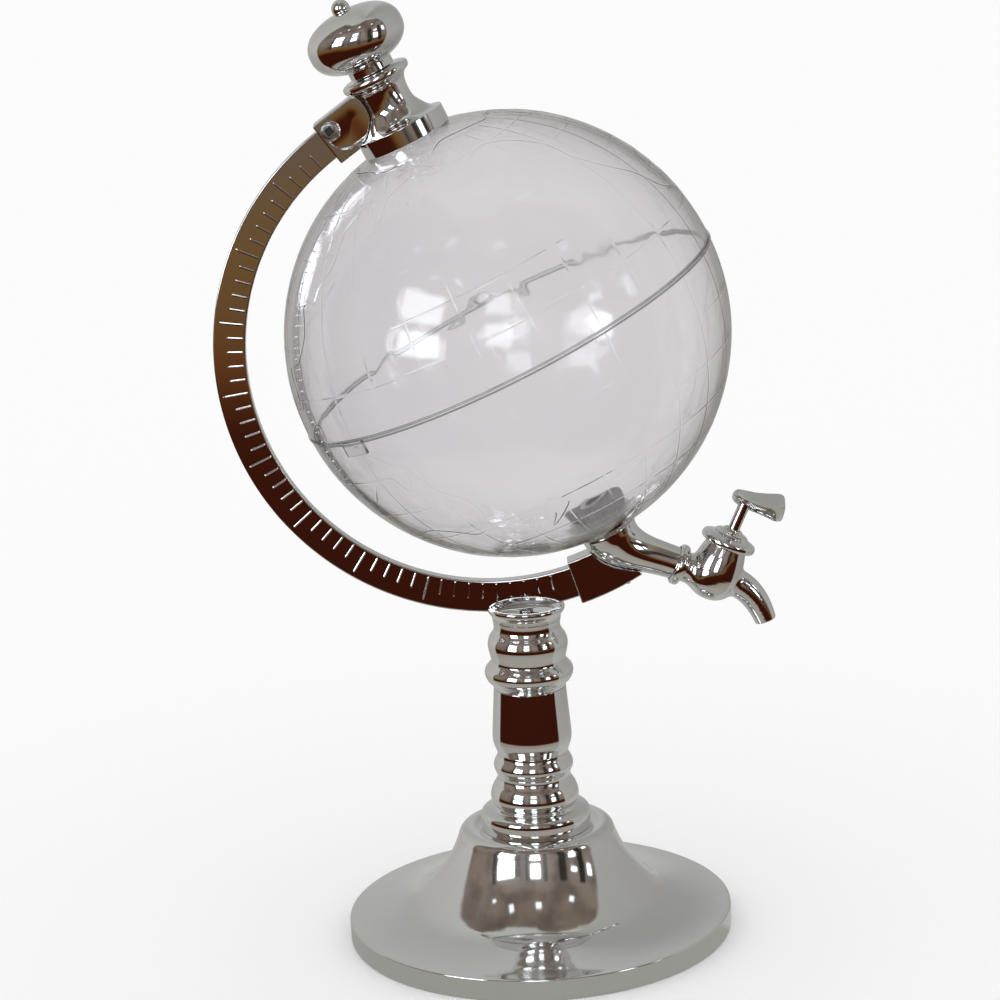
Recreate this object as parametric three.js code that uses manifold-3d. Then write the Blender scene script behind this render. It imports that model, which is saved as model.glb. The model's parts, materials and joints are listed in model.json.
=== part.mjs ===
// Liquor dispenser: a clear globe tank, tilted on a chrome stand, with a lift-out stopper at its north
// pole and a quarter-turn tap at its south pole.
// Millimetres, +Z up, +X towards the tap. The origin is the centre of the base's underside.

import * as THREE from 'three';
import { mergeVertices } from 'three/addons/utils/BufferGeometryUtils.js';
import Module from 'manifold-3d';

const wasm = await Module();
wasm.setup();

// Clearances
const seatGap = 0.3;
const restGap = 0.05;
const cutRun = 3;
const weldDistance = 0.0001;

// Facet counts
const shellSides = 32;
const turnedSides = 20;
const smallSides = 12;
const screwSides = 8;
const socketSides = 4;
const nutSides = 6;
const armSteps = 32;
const blockSteps = 6;
const globeSteps = 8;
const globeInnerSteps = 6;
const knobSteps = 12;
const spoutSteps = 6;

// Base
const baseRadius = 86.9;
const rimHeight = 9.8;
const rimEdge = 0.6;
const rimLift = 0.4;
const shellWall = 2.4;
const shellTop = 49.6;
const padThickness = 1.5;
const coverThickness = 2;
const coverGap = 0.5;
const weightRadius = 60;
const weightTopRadius = 34;
const weightRimHeight = 5;
const weightHeight = 18.5;

// Tie rod
const rodRadius = 3;
const rodEndLift = 4.4;
const rodTopGap = 0.8;
const nutAcrossFlats = 10;
const nutHeight = 5;
const washerRadius = 9;
const washerThickness = 1.6;
const nutPocketRadius = 11;
const nutPocketDepth = 8.5;

// Column
const collarRadius = 24.9;
const collarHeight = 12.2;
const columnRadius = 19.9;
const columnLowerHeight = 23.2;
const columnMiddleHeight = 30.4;
const columnUpperHeight = 31.6;
const cupRadius = 17.3;
const cupHeight = 6.4;
const cupDishDepth = 3;
const cupSeatRadius = 3;

// Head: the globe, its arm and the tap lean together
const headTilt = 24;
const armSeatShift = 10.95;
const armSeatDrop = 1.7;
const armClearance = 8.3;
const armWidth = 14.2;
const armThickness = 6;
const armShift = 10.15;
const armDrop = 1.3;

// Arm screw, up through the cup
const armScrewRadius = 1.5;
const armScrewHeadRadius = 2.9;
const armScrewHeadHeight = 2.2;
const armScrewCover = 2.5;
const armScrewReach = 9.5;

// Arm blocks
const blockWidth = 20.1;
const blockThickness = 11;
const armInsertion = 8.9;
const upperBlockOffset = 31.7;
const upperBlockLength = 24;
const pocketBorder = 2.2;
const pocketDepth = 1;
const pocketCornerRadius = 7;
const blockScrewRadius = 1.2;
const blockScrewReach = 4.6;
const upperScrewInset = 4.6;
const upperScrewOffset = 4.3;
const upperScrewHeadRadius = 3.4;
const upperScrewHeadHeight = 2;
const upperScrewSocket = 3.6;
const upperScrewSocketDepth = 1.4;
const upperScrewBossRadius = 4;
const lowerBlockOffset = 23.9;
const lowerBlockReach = 3.6;
const lowerScrewInset = 4.2;
const lowerScrewHeadRadius = 2.4;
const lowerScrewHeadHeight = 1.6;

// Globe
const globeRadius = 97.5;
const globeWall = 3;
const sealHeight = 1.2;
const sealStand = 0.5;
const lipWall = 1.8;
const lipGap = 0.5;
const lipReach = 4;
const sealTabAngle = 221.4;
const sealTabWidth = 14;
const sealTabDrop = 4.9;
const sealTabThickness = 1.5;
const neckRadius = 14;
const neckWall = 3;
const neckSeatDrop = 1.9;
const neckHeight = 5.9;

// Neck fitting
const fittingBore = 7.8;
const fittingCollarRadius = 19.9;
const fittingCollarHeight = 7.5;
const fittingHeight = 32.1;
const fittingLugLength = 6.5;
const fittingLugHeight = 8;
const fittingLugThickness = 4;
const fittingLugShare = 0.56;
const gasketThickness = 1.2;
const gasketInset = 0.2;

// Stopper
const plugRadius = 7.2;
const plugLength = 16;
const plugStudRadius = 4;
const plugStudLength = 9;
const sealRingHeight = 1.6;
const sealRingDepth = 1.2;
const sealRingStand = 0.3;
const upperSealDepth = 4;
const lowerSealDepth = 10;
const knobRadius = 21.7;
const knobThickness = 26.2;
const knobNeckRadius = 10;
const knobNeckHeight = 2.6;
const knobRoundness = 2.3;
const finialRadius = 4;
const finialSink = 3;
const finialStudRadius = 1.5;
const finialStudLength = 6;

// Outlet at the south pole
const outletBossRadius = 14.5;
const outletBossDrop = 0.6;
const outletInnerBossRadius = 17.8;
const outletInnerDrop = 2.1;
const spigotRadius = 7.6;
const spigotReach = 14.1;
const pipeBore = 4.4;
const outletNutRadius = 13.6;
const outletNutHeight = 5.2;
const outletWasherRadius = 15;
const outletWasherThickness = 1;
const elbowFlareRadius = 12.8;
const elbowEndRadius = 7.4;
const elbowPoleReach = 12;
const elbowTapReach = 14;

// Elbow screw, up from the lower block
const elbowScrewRadius = 1.5;
const elbowScrewHeadRadius = 2.6;
const elbowScrewHeadHeight = 2;
const elbowScrewLength = 9;
const elbowScrewAngle = 30;
const elbowScrewWall = 1.2;
const elbowScrewPlaceShare = 0.36;

// Tap
const tapReach = 31.5;
const tapDrop = 42.6;
const tapLean = 48.9;
const couplingPlace = 16;
const couplingLength = 4.4;
const couplingRadius = 9.3;
const couplingClearance = 0.45;
const inletRadius = 7.4;
const inletWaistRadius = 6.7;
const bodyRadius = 11.7;
const bodyTop = 16;
const bodyBottom = 9.8;
const cavityRadius = 6.3;
const cavityDepth = 5;
const valvePlugHeight = 14.9;
const valveBore = 3.6;
const stemRadius = 2.6;
const stemSocketDepth = 4;
const stemSealHeight = 2.5;
const bonnetRadius = 12.5;
const bonnetHeight = 7.9;
const handleLength = 24;
const handleEndHalfHeight = 6.2;
const handleHeight = 38.7;
const handleHubOffset = 6.7;
const handleStemDepth = 1.9;
const handlePinRadius = 0.9;
const handlePinHalfLength = 3.4;
const spoutReach = 29.8;
const spoutDrop = 9.2;
const spoutRootRadius = 6.4;
const spoutRootLift = 1.6;
const spoutEndRadius = 4.8;
const spoutBore = 3.6;
const spoutFall = 48;

// Outlines, as shares of the sizes that they follow
// Each row is a radius share, then a height share, from the bottom up.
const bellShares = [
  [0.026, 1.01], [0.09, 1.025], [0.121, 1.013], [0.147, 0.985], [0.163, 0.945], [0.174, 0.892],
  [0.213, 0.744], [0.242, 0.656], [0.274, 0.575], [0.311, 0.495], [0.355, 0.412], [0.405, 0.327],
  [0.461, 0.244], [0.518, 0.178], [0.598, 0.116], [0.695, 0.068], [0.808, 0.033], [0.905, 0.015],
];
const collarShares = [
  [0.994, 0.44], [0.98, 0.59], [0.948, 0.672], [0.86, 0.738], [0.779, 0.803], [0.771, 0.885], [0.723, 0.951],
  [0.703, 1],
];
const columnLowerShares = [
  [0.975, 0], [1, 0.086], [0.995, 0.168], [0.97, 0.25], [0.93, 0.332], [0.87, 0.414], [0.834, 0.483],
  [0.834, 0.552], [0.86, 0.612], [0.892, 0.681], [0.9, 0.741], [0.884, 0.81], [0.85, 0.871], [0.814, 0.931],
  [0.8, 1],
];
const columnMiddleShares = [
  [0.8, 0], [0.83, 0.053], [0.864, 0.112], [0.89, 0.174], [0.897, 0.243], [0.892, 0.329], [0.874, 0.493],
  [0.855, 0.658], [0.836, 0.822], [0.824, 0.931], [0.816, 1],
];
const columnUpperShares = [
  [0.804, 0], [0.849, 0.054], [0.93, 0.108], [0.98, 0.165], [1, 0.228], [0.977, 0.288], [0.91, 0.342],
  [0.849, 0.386], [0.844, 0.424], [0.859, 0.475], [0.882, 0.538], [0.903, 0.633], [0.887, 0.703],
  [0.849, 0.763], [0.789, 0.816], [0.754, 0.867], [0.751, 0.93], [0.769, 1],
];
const cupOuterShares = [
  [0.884, 0], [0.902, 0.25], [0.942, 0.438], [0.983, 0.594], [1, 0.75], [0.994, 0.906], [0.965, 1],
];
const cupDishShares = [[0.925, 0], [0.86, 0.3], [0.7, 0.66], [0.48, 0.9]];
// The fitting's trumpet and flange: a share of the collar's radius, then of the height above the collar.
const trumpetShares = [
  [0.975, 0.02], [0.874, 0.033], [0.739, 0.114], [0.618, 0.244], [0.548, 0.346], [0.528, 0.467],
  [0.533, 0.589], [0.563, 0.711], [0.633, 0.793], [0.744, 0.85], [0.769, 0.907], [0.749, 0.963], [0.653, 1],
];
// The elbow along its length: a share of the length, then of the way from its end's radius to the flare's.
const elbowRadiusShares = [
  [0, 1], [0.09, 1], [0.14, 0.86], [0.3, 0.6], [0.5, 0.36], [0.7, 0.18], [0.86, 0.05], [0.95, 0], [1, 0],
];
const valveBodyShares = [
  [0.3, 0.015], [0.556, 0.058], [0.769, 0.136], [0.923, 0.256], [0.991, 0.411], [1, 0.554], [0.957, 0.721],
  [0.872, 0.845], [0.786, 0.938], [0.752, 1],
];
const bonnetShares = [
  [0.896, 0], [0.976, 0.076], [1, 0.253], [0.96, 0.418], [0.816, 0.506], [0.672, 0.582], [0.624, 0.696],
  [0.528, 0.797], [0.384, 0.861], [0.336, 0.975],
];
// Handle sections: shares of its length along and up, then of its end's half height, tall and deep.
const handleShares = [
  [0, 0.008, 0.08, 0.08], [0.02, 0.004, 0.3, 0.32], [0.085, 0, 0.5, 0.55], [0.215, -0.004, 0.6, 0.7],
  [0.42, 0.008, 0.69, 0.82], [0.65, 0.038, 0.83, 0.97], [0.87, 0.067, 1, 1.12], [0.94, 0.083, 0.95, 1.06],
  [0.985, 0.096, 0.71, 0.78], [1, 0.1, 0.1, 0.1],
];
const handleEndTilt = 14.7;
const spoutMiddleShare = 0.62;
const couplingShares = [[0.85, 0], [0.95, 0.12], [1, 0.35], [1, 0.65], [0.95, 0.88], [0.85, 1]];

// Finishes
const finishes = {
  chrome: { color: 0xc9cbcb, roughness: 0.12, metalness: 1 },
  clear: { color: 0xded9e2, roughness: 0.08, metalness: 0, transparent: true, opacity: 0.4 },
  clearSeal: { color: 0xc9c4cd, roughness: 0.3, metalness: 0, transparent: true, opacity: 0.7 },
  greyPlastic: { color: 0x8f8e98, roughness: 0.5, metalness: 0 },
  darkRubber: { color: 0x2b2a2c, roughness: 0.8, metalness: 0 },
  castIron: { color: 0x45454a, roughness: 0.7, metalness: 0.6 },
  zincSteel: { color: 0xa9aaa6, roughness: 0.4, metalness: 1 },
  whitePlastic: { color: 0xd9d8d2, roughness: 0.5, metalness: 0 },
};

// A closed mesh with shared vertices and its faces outward, as a solid for joining and cutting.
function solid(geometry) {
  const bare = new THREE.BufferGeometry();
  bare.setAttribute('position', geometry.getAttribute('position').clone());
  if (geometry.index) bare.setIndex(geometry.index.clone());
  const merged = mergeVertices(bare, weldDistance);
  const at = merged.getAttribute('position').array;
  const corners = [];
  let sixVolumes = 0;
  for (let i = 0; i < merged.index.count; i += 3) {
    const [a, b, c] = merged.index.array.slice(i, i + 3);
    if (a === b || b === c || c === a) continue;
    corners.push(a, b, c);
    const [p, q, r] = [a, b, c].map((k) => new THREE.Vector3().fromArray(at, 3 * k));
    sixVolumes += p.dot(q.cross(r));
  }
  if (sixVolumes < 0) corners.reverse();
  return new wasm.Manifold(new wasm.Mesh({
    numProp: 3,
    vertProperties: new Float32Array(at),
    triVerts: new Uint32Array(corners),
  }));
}

function cut(body, ...tools) {
  return tools.reduce((rest, tool) => rest.subtract(tool), body);
}

function join(body, ...others) {
  return others.reduce((whole, other) => whole.add(other), body);
}

// Adds a solid to a group as a named mesh.
function addPiece(group, name, body, finish) {
  const mesh = body.getMesh();
  const geometry = new THREE.BufferGeometry();
  geometry.setAttribute('position', new THREE.BufferAttribute(mesh.vertProperties, mesh.numProp));
  geometry.setIndex(new THREE.BufferAttribute(mesh.triVerts, 1));
  geometry.computeVertexNormals();
  const piece = new THREE.Mesh(geometry, new THREE.MeshStandardMaterial(finishes[finish]));
  piece.name = name;
  group.add(piece);
}

// A closed outline of radius and height pairs, turned about the Z axis.
function turned(outline, sides = turnedSides) {
  const loop = outline[0][0] === 0 ? outline : [...outline, outline[0]];
  const points = loop.map(([r, z]) => new THREE.Vector2(r, z));
  return new THREE.LatheGeometry(points, sides).rotateX(Math.PI / 2);
}

function rod(radius, bottom, top, sides = smallSides) {
  return turned([[0, bottom], [radius, bottom], [radius, top], [0, top]], sides);
}

function tube(bore, radius, bottom, top, sides = smallSides) {
  return turned([[bore, bottom], [radius, bottom], [radius, top], [bore, top]], sides);
}

// A flat shape drawn in X and Z, with its thickness along Y about a middle plane.
function slab(shape, thickness, middle = 0, curveSegments = blockSteps) {
  const geometry = new THREE.ExtrudeGeometry(shape, { depth: thickness, bevelEnabled: false, curveSegments });
  return geometry.translate(0, 0, -thickness / 2 - middle).rotateX(Math.PI / 2);
}

function radians(degrees) {
  return THREE.MathUtils.degToRad(degrees);
}

// A row of elliptical sections along a path in the XZ plane, closed at both ends.
// Each section is { x, z, slope, tall, deep }: its centre, the path's direction and its half sizes.
function lofted(sections, sides = smallSides) {
  const places = [];
  const corners = [];
  for (const { x, z, slope, tall, deep } of sections) {
    for (let i = 0; i < sides; i += 1) {
      const turn = (2 * Math.PI * i) / sides;
      const up = tall * Math.cos(turn);
      places.push(x - up * Math.sin(slope), deep * Math.sin(turn), z + up * Math.cos(slope));
    }
  }
  for (let row = 0; row < sections.length - 1; row += 1) {
    for (let i = 0; i < sides; i += 1) {
      const a = row * sides + i;
      const b = row * sides + ((i + 1) % sides);
      corners.push(a, b, b + sides, a, b + sides, a + sides);
    }
  }
  const last = (sections.length - 1) * sides;
  for (let i = 1; i < sides - 1; i += 1) {
    corners.push(0, i + 1, i);
    corners.push(last, last + i, last + i + 1);
  }
  const geometry = new THREE.BufferGeometry();
  geometry.setAttribute('position', new THREE.Float32BufferAttribute(places, 3));
  return geometry.setIndex(corners);
}

// A rod between two points of the XZ plane.
function rodBetween(from, to, radius, sides = screwSides) {
  const length = Math.hypot(to.x - from.x, to.z - from.z);
  const lean = Math.atan2(to.x - from.x, to.z - from.z);
  return rod(radius, 0, length, sides).rotateY(lean).translate(from.x, 0, from.z);
}

// A rod along Y.
function crossRod(x, z, radius, from, to, sides = screwSides) {
  return rod(radius, from, to, sides).rotateX(-Math.PI / 2).translate(x, 0, z);
}

// The outline moved to its left side by a distance, for a wall or a clearance.
function offsetOutline(outline, distance) {
  return outline.map(([r, z], i) => {
    const before = outline[Math.max(i - 1, 0)];
    const after = outline[Math.min(i + 1, outline.length - 1)];
    const along = new THREE.Vector2(after[0] - before[0], after[1] - before[1]).normalize();
    return [r - distance * along.y, z + distance * along.x];
  });
}

function scaled(shares, radius, bottom, height) {
  return shares.map(([radiusShare, heightShare]) => [radius * radiusShare, bottom + height * heightShare]);
}

// Places that several pieces share
const coverBottom = padThickness + restGap;
const coverTop = coverBottom + coverThickness;
const weightBottom = coverTop + restGap;
const nutCeiling = weightBottom + nutPocketDepth;
const collarBottom = shellTop + restGap;
const collarTop = collarBottom + collarHeight;
const columnLowerBottom = collarTop + restGap;
const columnLowerTop = columnLowerBottom + columnLowerHeight;
const columnMiddleBottom = columnLowerTop + restGap;
const columnMiddleTop = columnMiddleBottom + columnMiddleHeight;
const columnUpperBottom = columnMiddleTop + restGap;
const columnUpperTop = columnUpperBottom + columnUpperHeight;
const cupBottom = columnUpperTop + restGap;
const cupTop = cupBottom + cupHeight;
const rodBore = rodRadius + seatGap;
const armScrewBore = armScrewRadius + seatGap;
const armScrewSeat = columnUpperTop - armScrewCover;
const armInnerRadius = globeRadius + armClearance;
const armMidRadius = armInnerRadius + armWidth / 2;
const armOuterRadius = armInnerRadius + armWidth;
const blockOuterRadius = armMidRadius + blockWidth / 2;
const blockInnerRadius = armMidRadius - blockWidth / 2;
const armSeatHeight = cupTop - armSeatDrop;
const globeInner = globeRadius - globeWall;
const neckSeat = globeRadius - neckSeatDrop;
const outletBossFace = globeRadius - outletBossDrop;
const outletInnerFace = globeInner - outletInnerDrop;
const halfEdge = sealHeight / 2 + seatGap;
const fittingBottom = neckSeat + seatGap;
const fittingTop = fittingBottom + fittingHeight;
const fittingCollarTop = fittingBottom + fittingCollarHeight;
const neckTop = neckSeat + neckHeight;
const fittingCeiling = neckTop + gasketThickness + 2 * seatGap;
const knobBottom = fittingTop + seatGap;
const knobMiddle = knobBottom + knobNeckHeight + knobThickness / 2;
const knobTop = knobMiddle + knobThickness / 2;
const elbowTop = outletBossFace + gasketThickness + 2 * seatGap;
const spigotBore = spigotRadius + seatGap;

// The angle, in degrees from the tap's side of the equator, at which the arm's middle line is a distance
// across the polar axis towards the tap.
function armAngle(across) {
  return THREE.MathUtils.radToDeg(Math.acos((across + armShift) / armMidRadius));
}

const upperBlockAngle = armAngle(-upperBlockOffset);
const lowerBlockStart = armAngle(-lowerBlockOffset);
const lowerBlockEnd = armAngle(lowerBlockReach);

// A point of the arm's ring, by its radius and its angle.
function armPoint(radius, angle) {
  const turn = radians(angle);
  return new THREE.Vector2(radius * Math.cos(turn) - armShift, radius * Math.sin(turn) - armDrop);
}

const armUpperEnd = upperBlockAngle - THREE.MathUtils.radToDeg(armInsertion / armMidRadius);
const armLowerEnd = 360 - lowerBlockStart + THREE.MathUtils.radToDeg(armInsertion / armMidRadius);

// The stand

function bellOutline() {
  const reach = baseRadius - collarRadius;
  const rise = shellTop - rimHeight;
  const bell = bellShares.map(([r, z]) => [collarRadius + r * reach, rimHeight + z * rise]);
  return [
    [collarRadius, shellTop],
    ...bell,
    [baseRadius - rimEdge, rimHeight],
    [baseRadius, rimHeight - rimEdge],
  ];
}

function baseShell() {
  const outer = bellOutline();
  const inner = offsetOutline(outer, -shellWall).filter((_, i) => i % 2 === 0).slice(1).reverse();
  return solid(turned([
    [rodBore, shellTop],
    ...outer,
    [baseRadius, rimLift],
    [baseRadius - shellWall, rimLift],
    ...inner,
    [collarRadius, shellTop - shellWall],
    [rodBore, shellTop - shellWall],
  ], shellSides));
}

function baseWeight() {
  const rimTop = weightBottom + weightRimHeight;
  const top = weightBottom + weightHeight;
  return solid(turned([
    [nutPocketRadius, weightBottom],
    [weightRadius, weightBottom],
    [weightRadius, rimTop],
    [weightTopRadius, top],
    [rodBore, top],
    [rodBore, nutCeiling],
    [nutPocketRadius, nutCeiling],
  ]));
}

function baseCollar() {
  const side = scaled(collarShares, collarRadius, collarBottom, collarHeight);
  return solid(turned([
    [rodBore, collarBottom],
    [collarRadius, collarBottom],
    ...side,
    [rodBore, collarTop],
  ]));
}

function columnSection(shares, bottom, height) {
  const side = scaled(shares, columnRadius, bottom, height);
  return solid(turned([[rodBore, bottom], ...side, [rodBore, bottom + height]]));
}

// The top section's bore narrows over the arm screw's head.
function columnUpper() {
  const side = scaled(columnUpperShares, columnRadius, columnUpperBottom, columnUpperHeight);
  return solid(turned([
    [rodBore, columnUpperBottom],
    ...side,
    [armScrewBore, columnUpperTop],
    [armScrewBore, armScrewSeat],
    [rodBore, armScrewSeat],
  ]));
}

// The cup is a shallow dish with a small seat in the middle, notched for the arm's band.
function armCup(armClearance) {
  const dishTop = cupTop - cupDishDepth;
  const outer = scaled(cupOuterShares, cupRadius, cupBottom, cupHeight);
  const dish = cupDishShares.map(([r, depth]) => [cupRadius * r, cupTop - depth * cupDishDepth]);
  const seatTop = armSeatHeight + seatGap;
  const cup = solid(turned([
    [armScrewBore, cupBottom],
    ...outer,
    ...dish,
    [cupSeatRadius, dishTop],
    [cupSeatRadius, seatTop],
    [armScrewBore, seatTop],
  ]));
  return cut(cup, armClearance);
}

function buildStand(stand, armClearance) {
  const coverRadius = baseRadius - shellWall - coverGap;
  const nutRadius = nutAcrossFlats / 2 / Math.cos(Math.PI / nutSides);
  const washerTop = nutCeiling - restGap;
  const washerBottom = washerTop - washerThickness;
  const nutTop = washerBottom - restGap;
  const rodTop = armScrewSeat - armScrewHeadHeight - rodTopGap;
  const screwHeadTop = armScrewSeat - restGap;
  const screwHeadBottom = screwHeadTop - armScrewHeadHeight;

  addPiece(stand, 'base_pad', solid(rod(coverRadius, 0, padThickness, shellSides)), 'darkRubber');
  addPiece(stand, 'base_cover', solid(rod(coverRadius, coverBottom, coverTop, shellSides)), 'darkRubber');
  addPiece(stand, 'base_shell', baseShell(), 'chrome');
  addPiece(stand, 'base_weight', baseWeight(), 'castIron');
  addPiece(stand, 'base_collar', baseCollar(), 'chrome');
  addPiece(stand, 'tie_rod', solid(rod(rodRadius, rodEndLift, rodTop, screwSides)), 'zincSteel');
  addPiece(stand, 'tie_rod_nut', cut(
    solid(rod(nutRadius, nutTop - nutHeight, nutTop, nutSides)),
    solid(rod(rodBore, nutTop - nutHeight - cutRun, nutTop + cutRun)),
  ), 'zincSteel');
  addPiece(stand, 'tie_rod_washer', solid(tube(rodBore, washerRadius, washerBottom, washerTop)), 'zincSteel');
  addPiece(stand, 'column_lower', columnSection(columnLowerShares, columnLowerBottom, columnLowerHeight),
    'chrome');
  addPiece(stand, 'column_middle', columnSection(columnMiddleShares, columnMiddleBottom, columnMiddleHeight),
    'chrome');
  addPiece(stand, 'column_upper', columnUpper(), 'chrome');
  addPiece(stand, 'arm_cup', armCup(armClearance), 'chrome');
  addPiece(stand, 'arm_screw', join(
    solid(rod(armScrewHeadRadius, screwHeadBottom, screwHeadTop, screwSides)),
    solid(rod(armScrewRadius, screwHeadBottom, armSeatHeight + armScrewReach, screwSides)),
  ), 'zincSteel');
}

// The arm and its blocks, in the head's frame: X across the polar axis towards the tap, Z along it.

// The arm's band, or the space that it needs when there is a gap round it.
function armBand(gap) {
  const extra = THREE.MathUtils.radToDeg(gap / armMidRadius);
  const from = radians(armUpperEnd - extra);
  const to = radians(armLowerEnd + extra);
  const shape = new THREE.Shape();
  shape.absarc(-armShift, -armDrop, armOuterRadius + gap, from, to, false);
  shape.absarc(-armShift, -armDrop, armInnerRadius - gap, to, from, true);
  return slab(shape, armThickness + 2 * gap, 0, armSteps);
}

function upperScrewPlace() {
  const along = THREE.MathUtils.radToDeg(upperScrewInset / armMidRadius);
  return armPoint(armMidRadius + upperScrewOffset, upperBlockAngle - along);
}

function lowerScrewPlace() {
  const along = THREE.MathUtils.radToDeg(lowerScrewInset / armMidRadius);
  return armPoint(armMidRadius, along - lowerBlockStart);
}

// A straight-sided outline of the upper block, drawn in from its edges by a border.
function upperBlockShape(border, cornerRadius) {
  const turn = radians(upperBlockAngle);
  const along = new THREE.Vector2(Math.sin(turn), -Math.cos(turn));
  const outward = new THREE.Vector2(Math.cos(turn), Math.sin(turn));
  const start = armPoint(armMidRadius, upperBlockAngle).addScaledVector(along, border);
  const half = blockWidth / 2 - border;
  const length = upperBlockLength - 2 * border;
  const place = (forward, side) => start.clone()
    .addScaledVector(along, forward)
    .addScaledVector(outward, side);
  const shape = new THREE.Shape();
  shape.moveTo(...place(0, half));
  shape.lineTo(...place(0, -half));
  shape.lineTo(...place(length - cornerRadius, -half));
  const low = place(length, -half);
  const high = place(length, half);
  if (cornerRadius > 0) {
    const lowEnd = place(length, cornerRadius - half);
    shape.quadraticCurveTo(low.x, low.y, lowEnd.x, lowEnd.y);
    shape.lineTo(...place(length, half - cornerRadius));
    const highEnd = place(length - cornerRadius, half);
    shape.quadraticCurveTo(high.x, high.y, highEnd.x, highEnd.y);
  } else {
    shape.lineTo(high.x, high.y);
  }
  shape.closePath();
  return shape;
}

function upperBlock(armClearance, fittingClearance, lugClearance) {
  const face = -blockThickness / 2;
  const screw = upperScrewPlace();
  const pocketShape = upperBlockShape(pocketBorder, pocketCornerRadius);
  const pocket = cut(
    solid(slab(pocketShape, 2 * pocketDepth, face)),
    solid(crossRod(screw.x, screw.y, upperScrewBossRadius, face - cutRun, -face, smallSides)),
  );
  return cut(
    solid(slab(upperBlockShape(0, 0), blockThickness)),
    armClearance,
    fittingClearance,
    lugClearance,
    pocket,
    solid(crossRod(screw.x, screw.y, upperScrewHeadRadius + seatGap, face - cutRun, face + pocketDepth,
      smallSides)),
    solid(crossRod(screw.x, screw.y, blockScrewRadius + seatGap, face, blockScrewReach + seatGap)),
  );
}

function upperBlockScrew() {
  const { x, y } = upperScrewPlace();
  const seat = -blockThickness / 2 + pocketDepth - seatGap;
  const face = seat - upperScrewHeadHeight;
  const socketRadius = upperScrewSocket / 2 / Math.cos(Math.PI / socketSides);
  return cut(
    join(
      solid(crossRod(x, y, upperScrewHeadRadius, face, seat, smallSides)),
      solid(crossRod(x, y, blockScrewRadius, seat - upperScrewHeadHeight / 2, blockScrewReach)),
    ),
    solid(crossRod(x, y, socketRadius, face - cutRun, face + upperScrewSocketDepth, socketSides)),
  );
}

function lowerBlock(armClearance, elbowClearance, elbowScrewClearance) {
  const from = radians(-lowerBlockStart);
  const to = radians(-lowerBlockEnd);
  const shape = new THREE.Shape();
  shape.absarc(-armShift, -armDrop, blockOuterRadius, from, to, false);
  shape.absarc(-armShift, -armDrop, blockInnerRadius, to, from, true);
  const { x, y } = lowerScrewPlace();
  const back = blockThickness / 2;
  return cut(
    solid(slab(shape, blockThickness)),
    armClearance,
    elbowClearance,
    elbowScrewClearance,
    solid(crossRod(x, y, blockScrewRadius + seatGap, -blockScrewReach - seatGap, back + cutRun)),
    solid(crossRod(x, y, lowerScrewHeadRadius + seatGap, back - lowerScrewHeadHeight, back + cutRun)),
  );
}

function lowerBlockScrew() {
  const { x, y } = lowerScrewPlace();
  const top = blockThickness / 2;
  const seat = top - lowerScrewHeadHeight + seatGap;
  return join(
    solid(crossRod(x, y, lowerScrewHeadRadius, seat, top)),
    solid(crossRod(x, y, blockScrewRadius, -blockScrewReach, top)),
  );
}

// The arm's band, with the holes that its three screws go through.
function meridianArm(cupScrewHole) {
  const upper = upperScrewPlace();
  const lower = lowerScrewPlace();
  const hole = blockScrewRadius + seatGap;
  return cut(
    solid(armBand(0)),
    solid(crossRod(upper.x, upper.y, hole, -armThickness, armThickness)),
    solid(crossRod(lower.x, lower.y, hole, -armThickness, armThickness)),
    cupScrewHole,
  );
}

// The globe

// Points of a circle about the globe's centre, from one height to another.
function sphereArc(radius, fromHeight, toHeight, steps) {
  const from = Math.asin(fromHeight / radius);
  const to = Math.asin(toHeight / radius);
  return Array.from({ length: steps + 1 }, (_, i) => {
    const turn = from + ((to - from) * i) / steps;
    return [radius * Math.cos(turn), radius * Math.sin(turn)];
  });
}

function globeUpper() {
  const neckBore = neckRadius - neckWall;
  const lipOuter = globeInner - lipGap;
  const lipInner = lipOuter - lipWall;
  const innerTop = Math.sqrt(globeInner ** 2 - neckBore ** 2);
  return solid(turned([
    ...sphereArc(globeRadius, halfEdge, neckSeat, globeSteps),
    [neckRadius, neckSeat],
    [neckRadius, neckTop],
    [neckBore, neckTop],
    ...sphereArc(globeInner, innerTop, lipReach, globeInnerSteps),
    [lipInner, halfEdge],
    [lipInner, -lipReach],
    [lipOuter, -lipReach],
    [lipOuter, halfEdge],
  ], shellSides));
}

function globeLower() {
  const outerEnd = Math.sqrt(globeRadius ** 2 - outletBossRadius ** 2);
  const innerEnd = Math.sqrt(globeInner ** 2 - outletInnerBossRadius ** 2);
  return solid(turned([
    ...sphereArc(globeInner, -halfEdge, -innerEnd, globeInnerSteps),
    [outletInnerBossRadius, -outletInnerFace],
    [spigotBore, -outletInnerFace],
    [spigotBore, -outletBossFace],
    [outletBossRadius, -outletBossFace],
    ...sphereArc(globeRadius, -outerEnd, -halfEdge, globeSteps),
  ], shellSides));
}

// The seal between the halves, with a small tab over the lower half. The tab's root runs in to the ring.
function globeSeal() {
  const outer = globeRadius + sealStand;
  const inner = globeInner - lipGap + seatGap;
  const tabInner = globeRadius + seatGap;
  const tab = new THREE.BoxGeometry(sealTabThickness, sealTabWidth, sealTabDrop + sealHeight);
  tab.translate(tabInner + sealTabThickness / 2, 0, -sealTabDrop / 2);
  const rootLength = tabInner + sealTabThickness / 2 - globeInner;
  const root = new THREE.BoxGeometry(rootLength, sealTabWidth, sealHeight);
  root.translate(globeInner + rootLength / 2, 0, 0);
  return join(
    solid(tube(inner, outer, -sealHeight / 2, sealHeight / 2, shellSides)),
    solid(tab.rotateZ(radians(sealTabAngle))),
    solid(root.rotateZ(radians(sealTabAngle))),
  );
}

// The neck fitting and its lug

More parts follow.
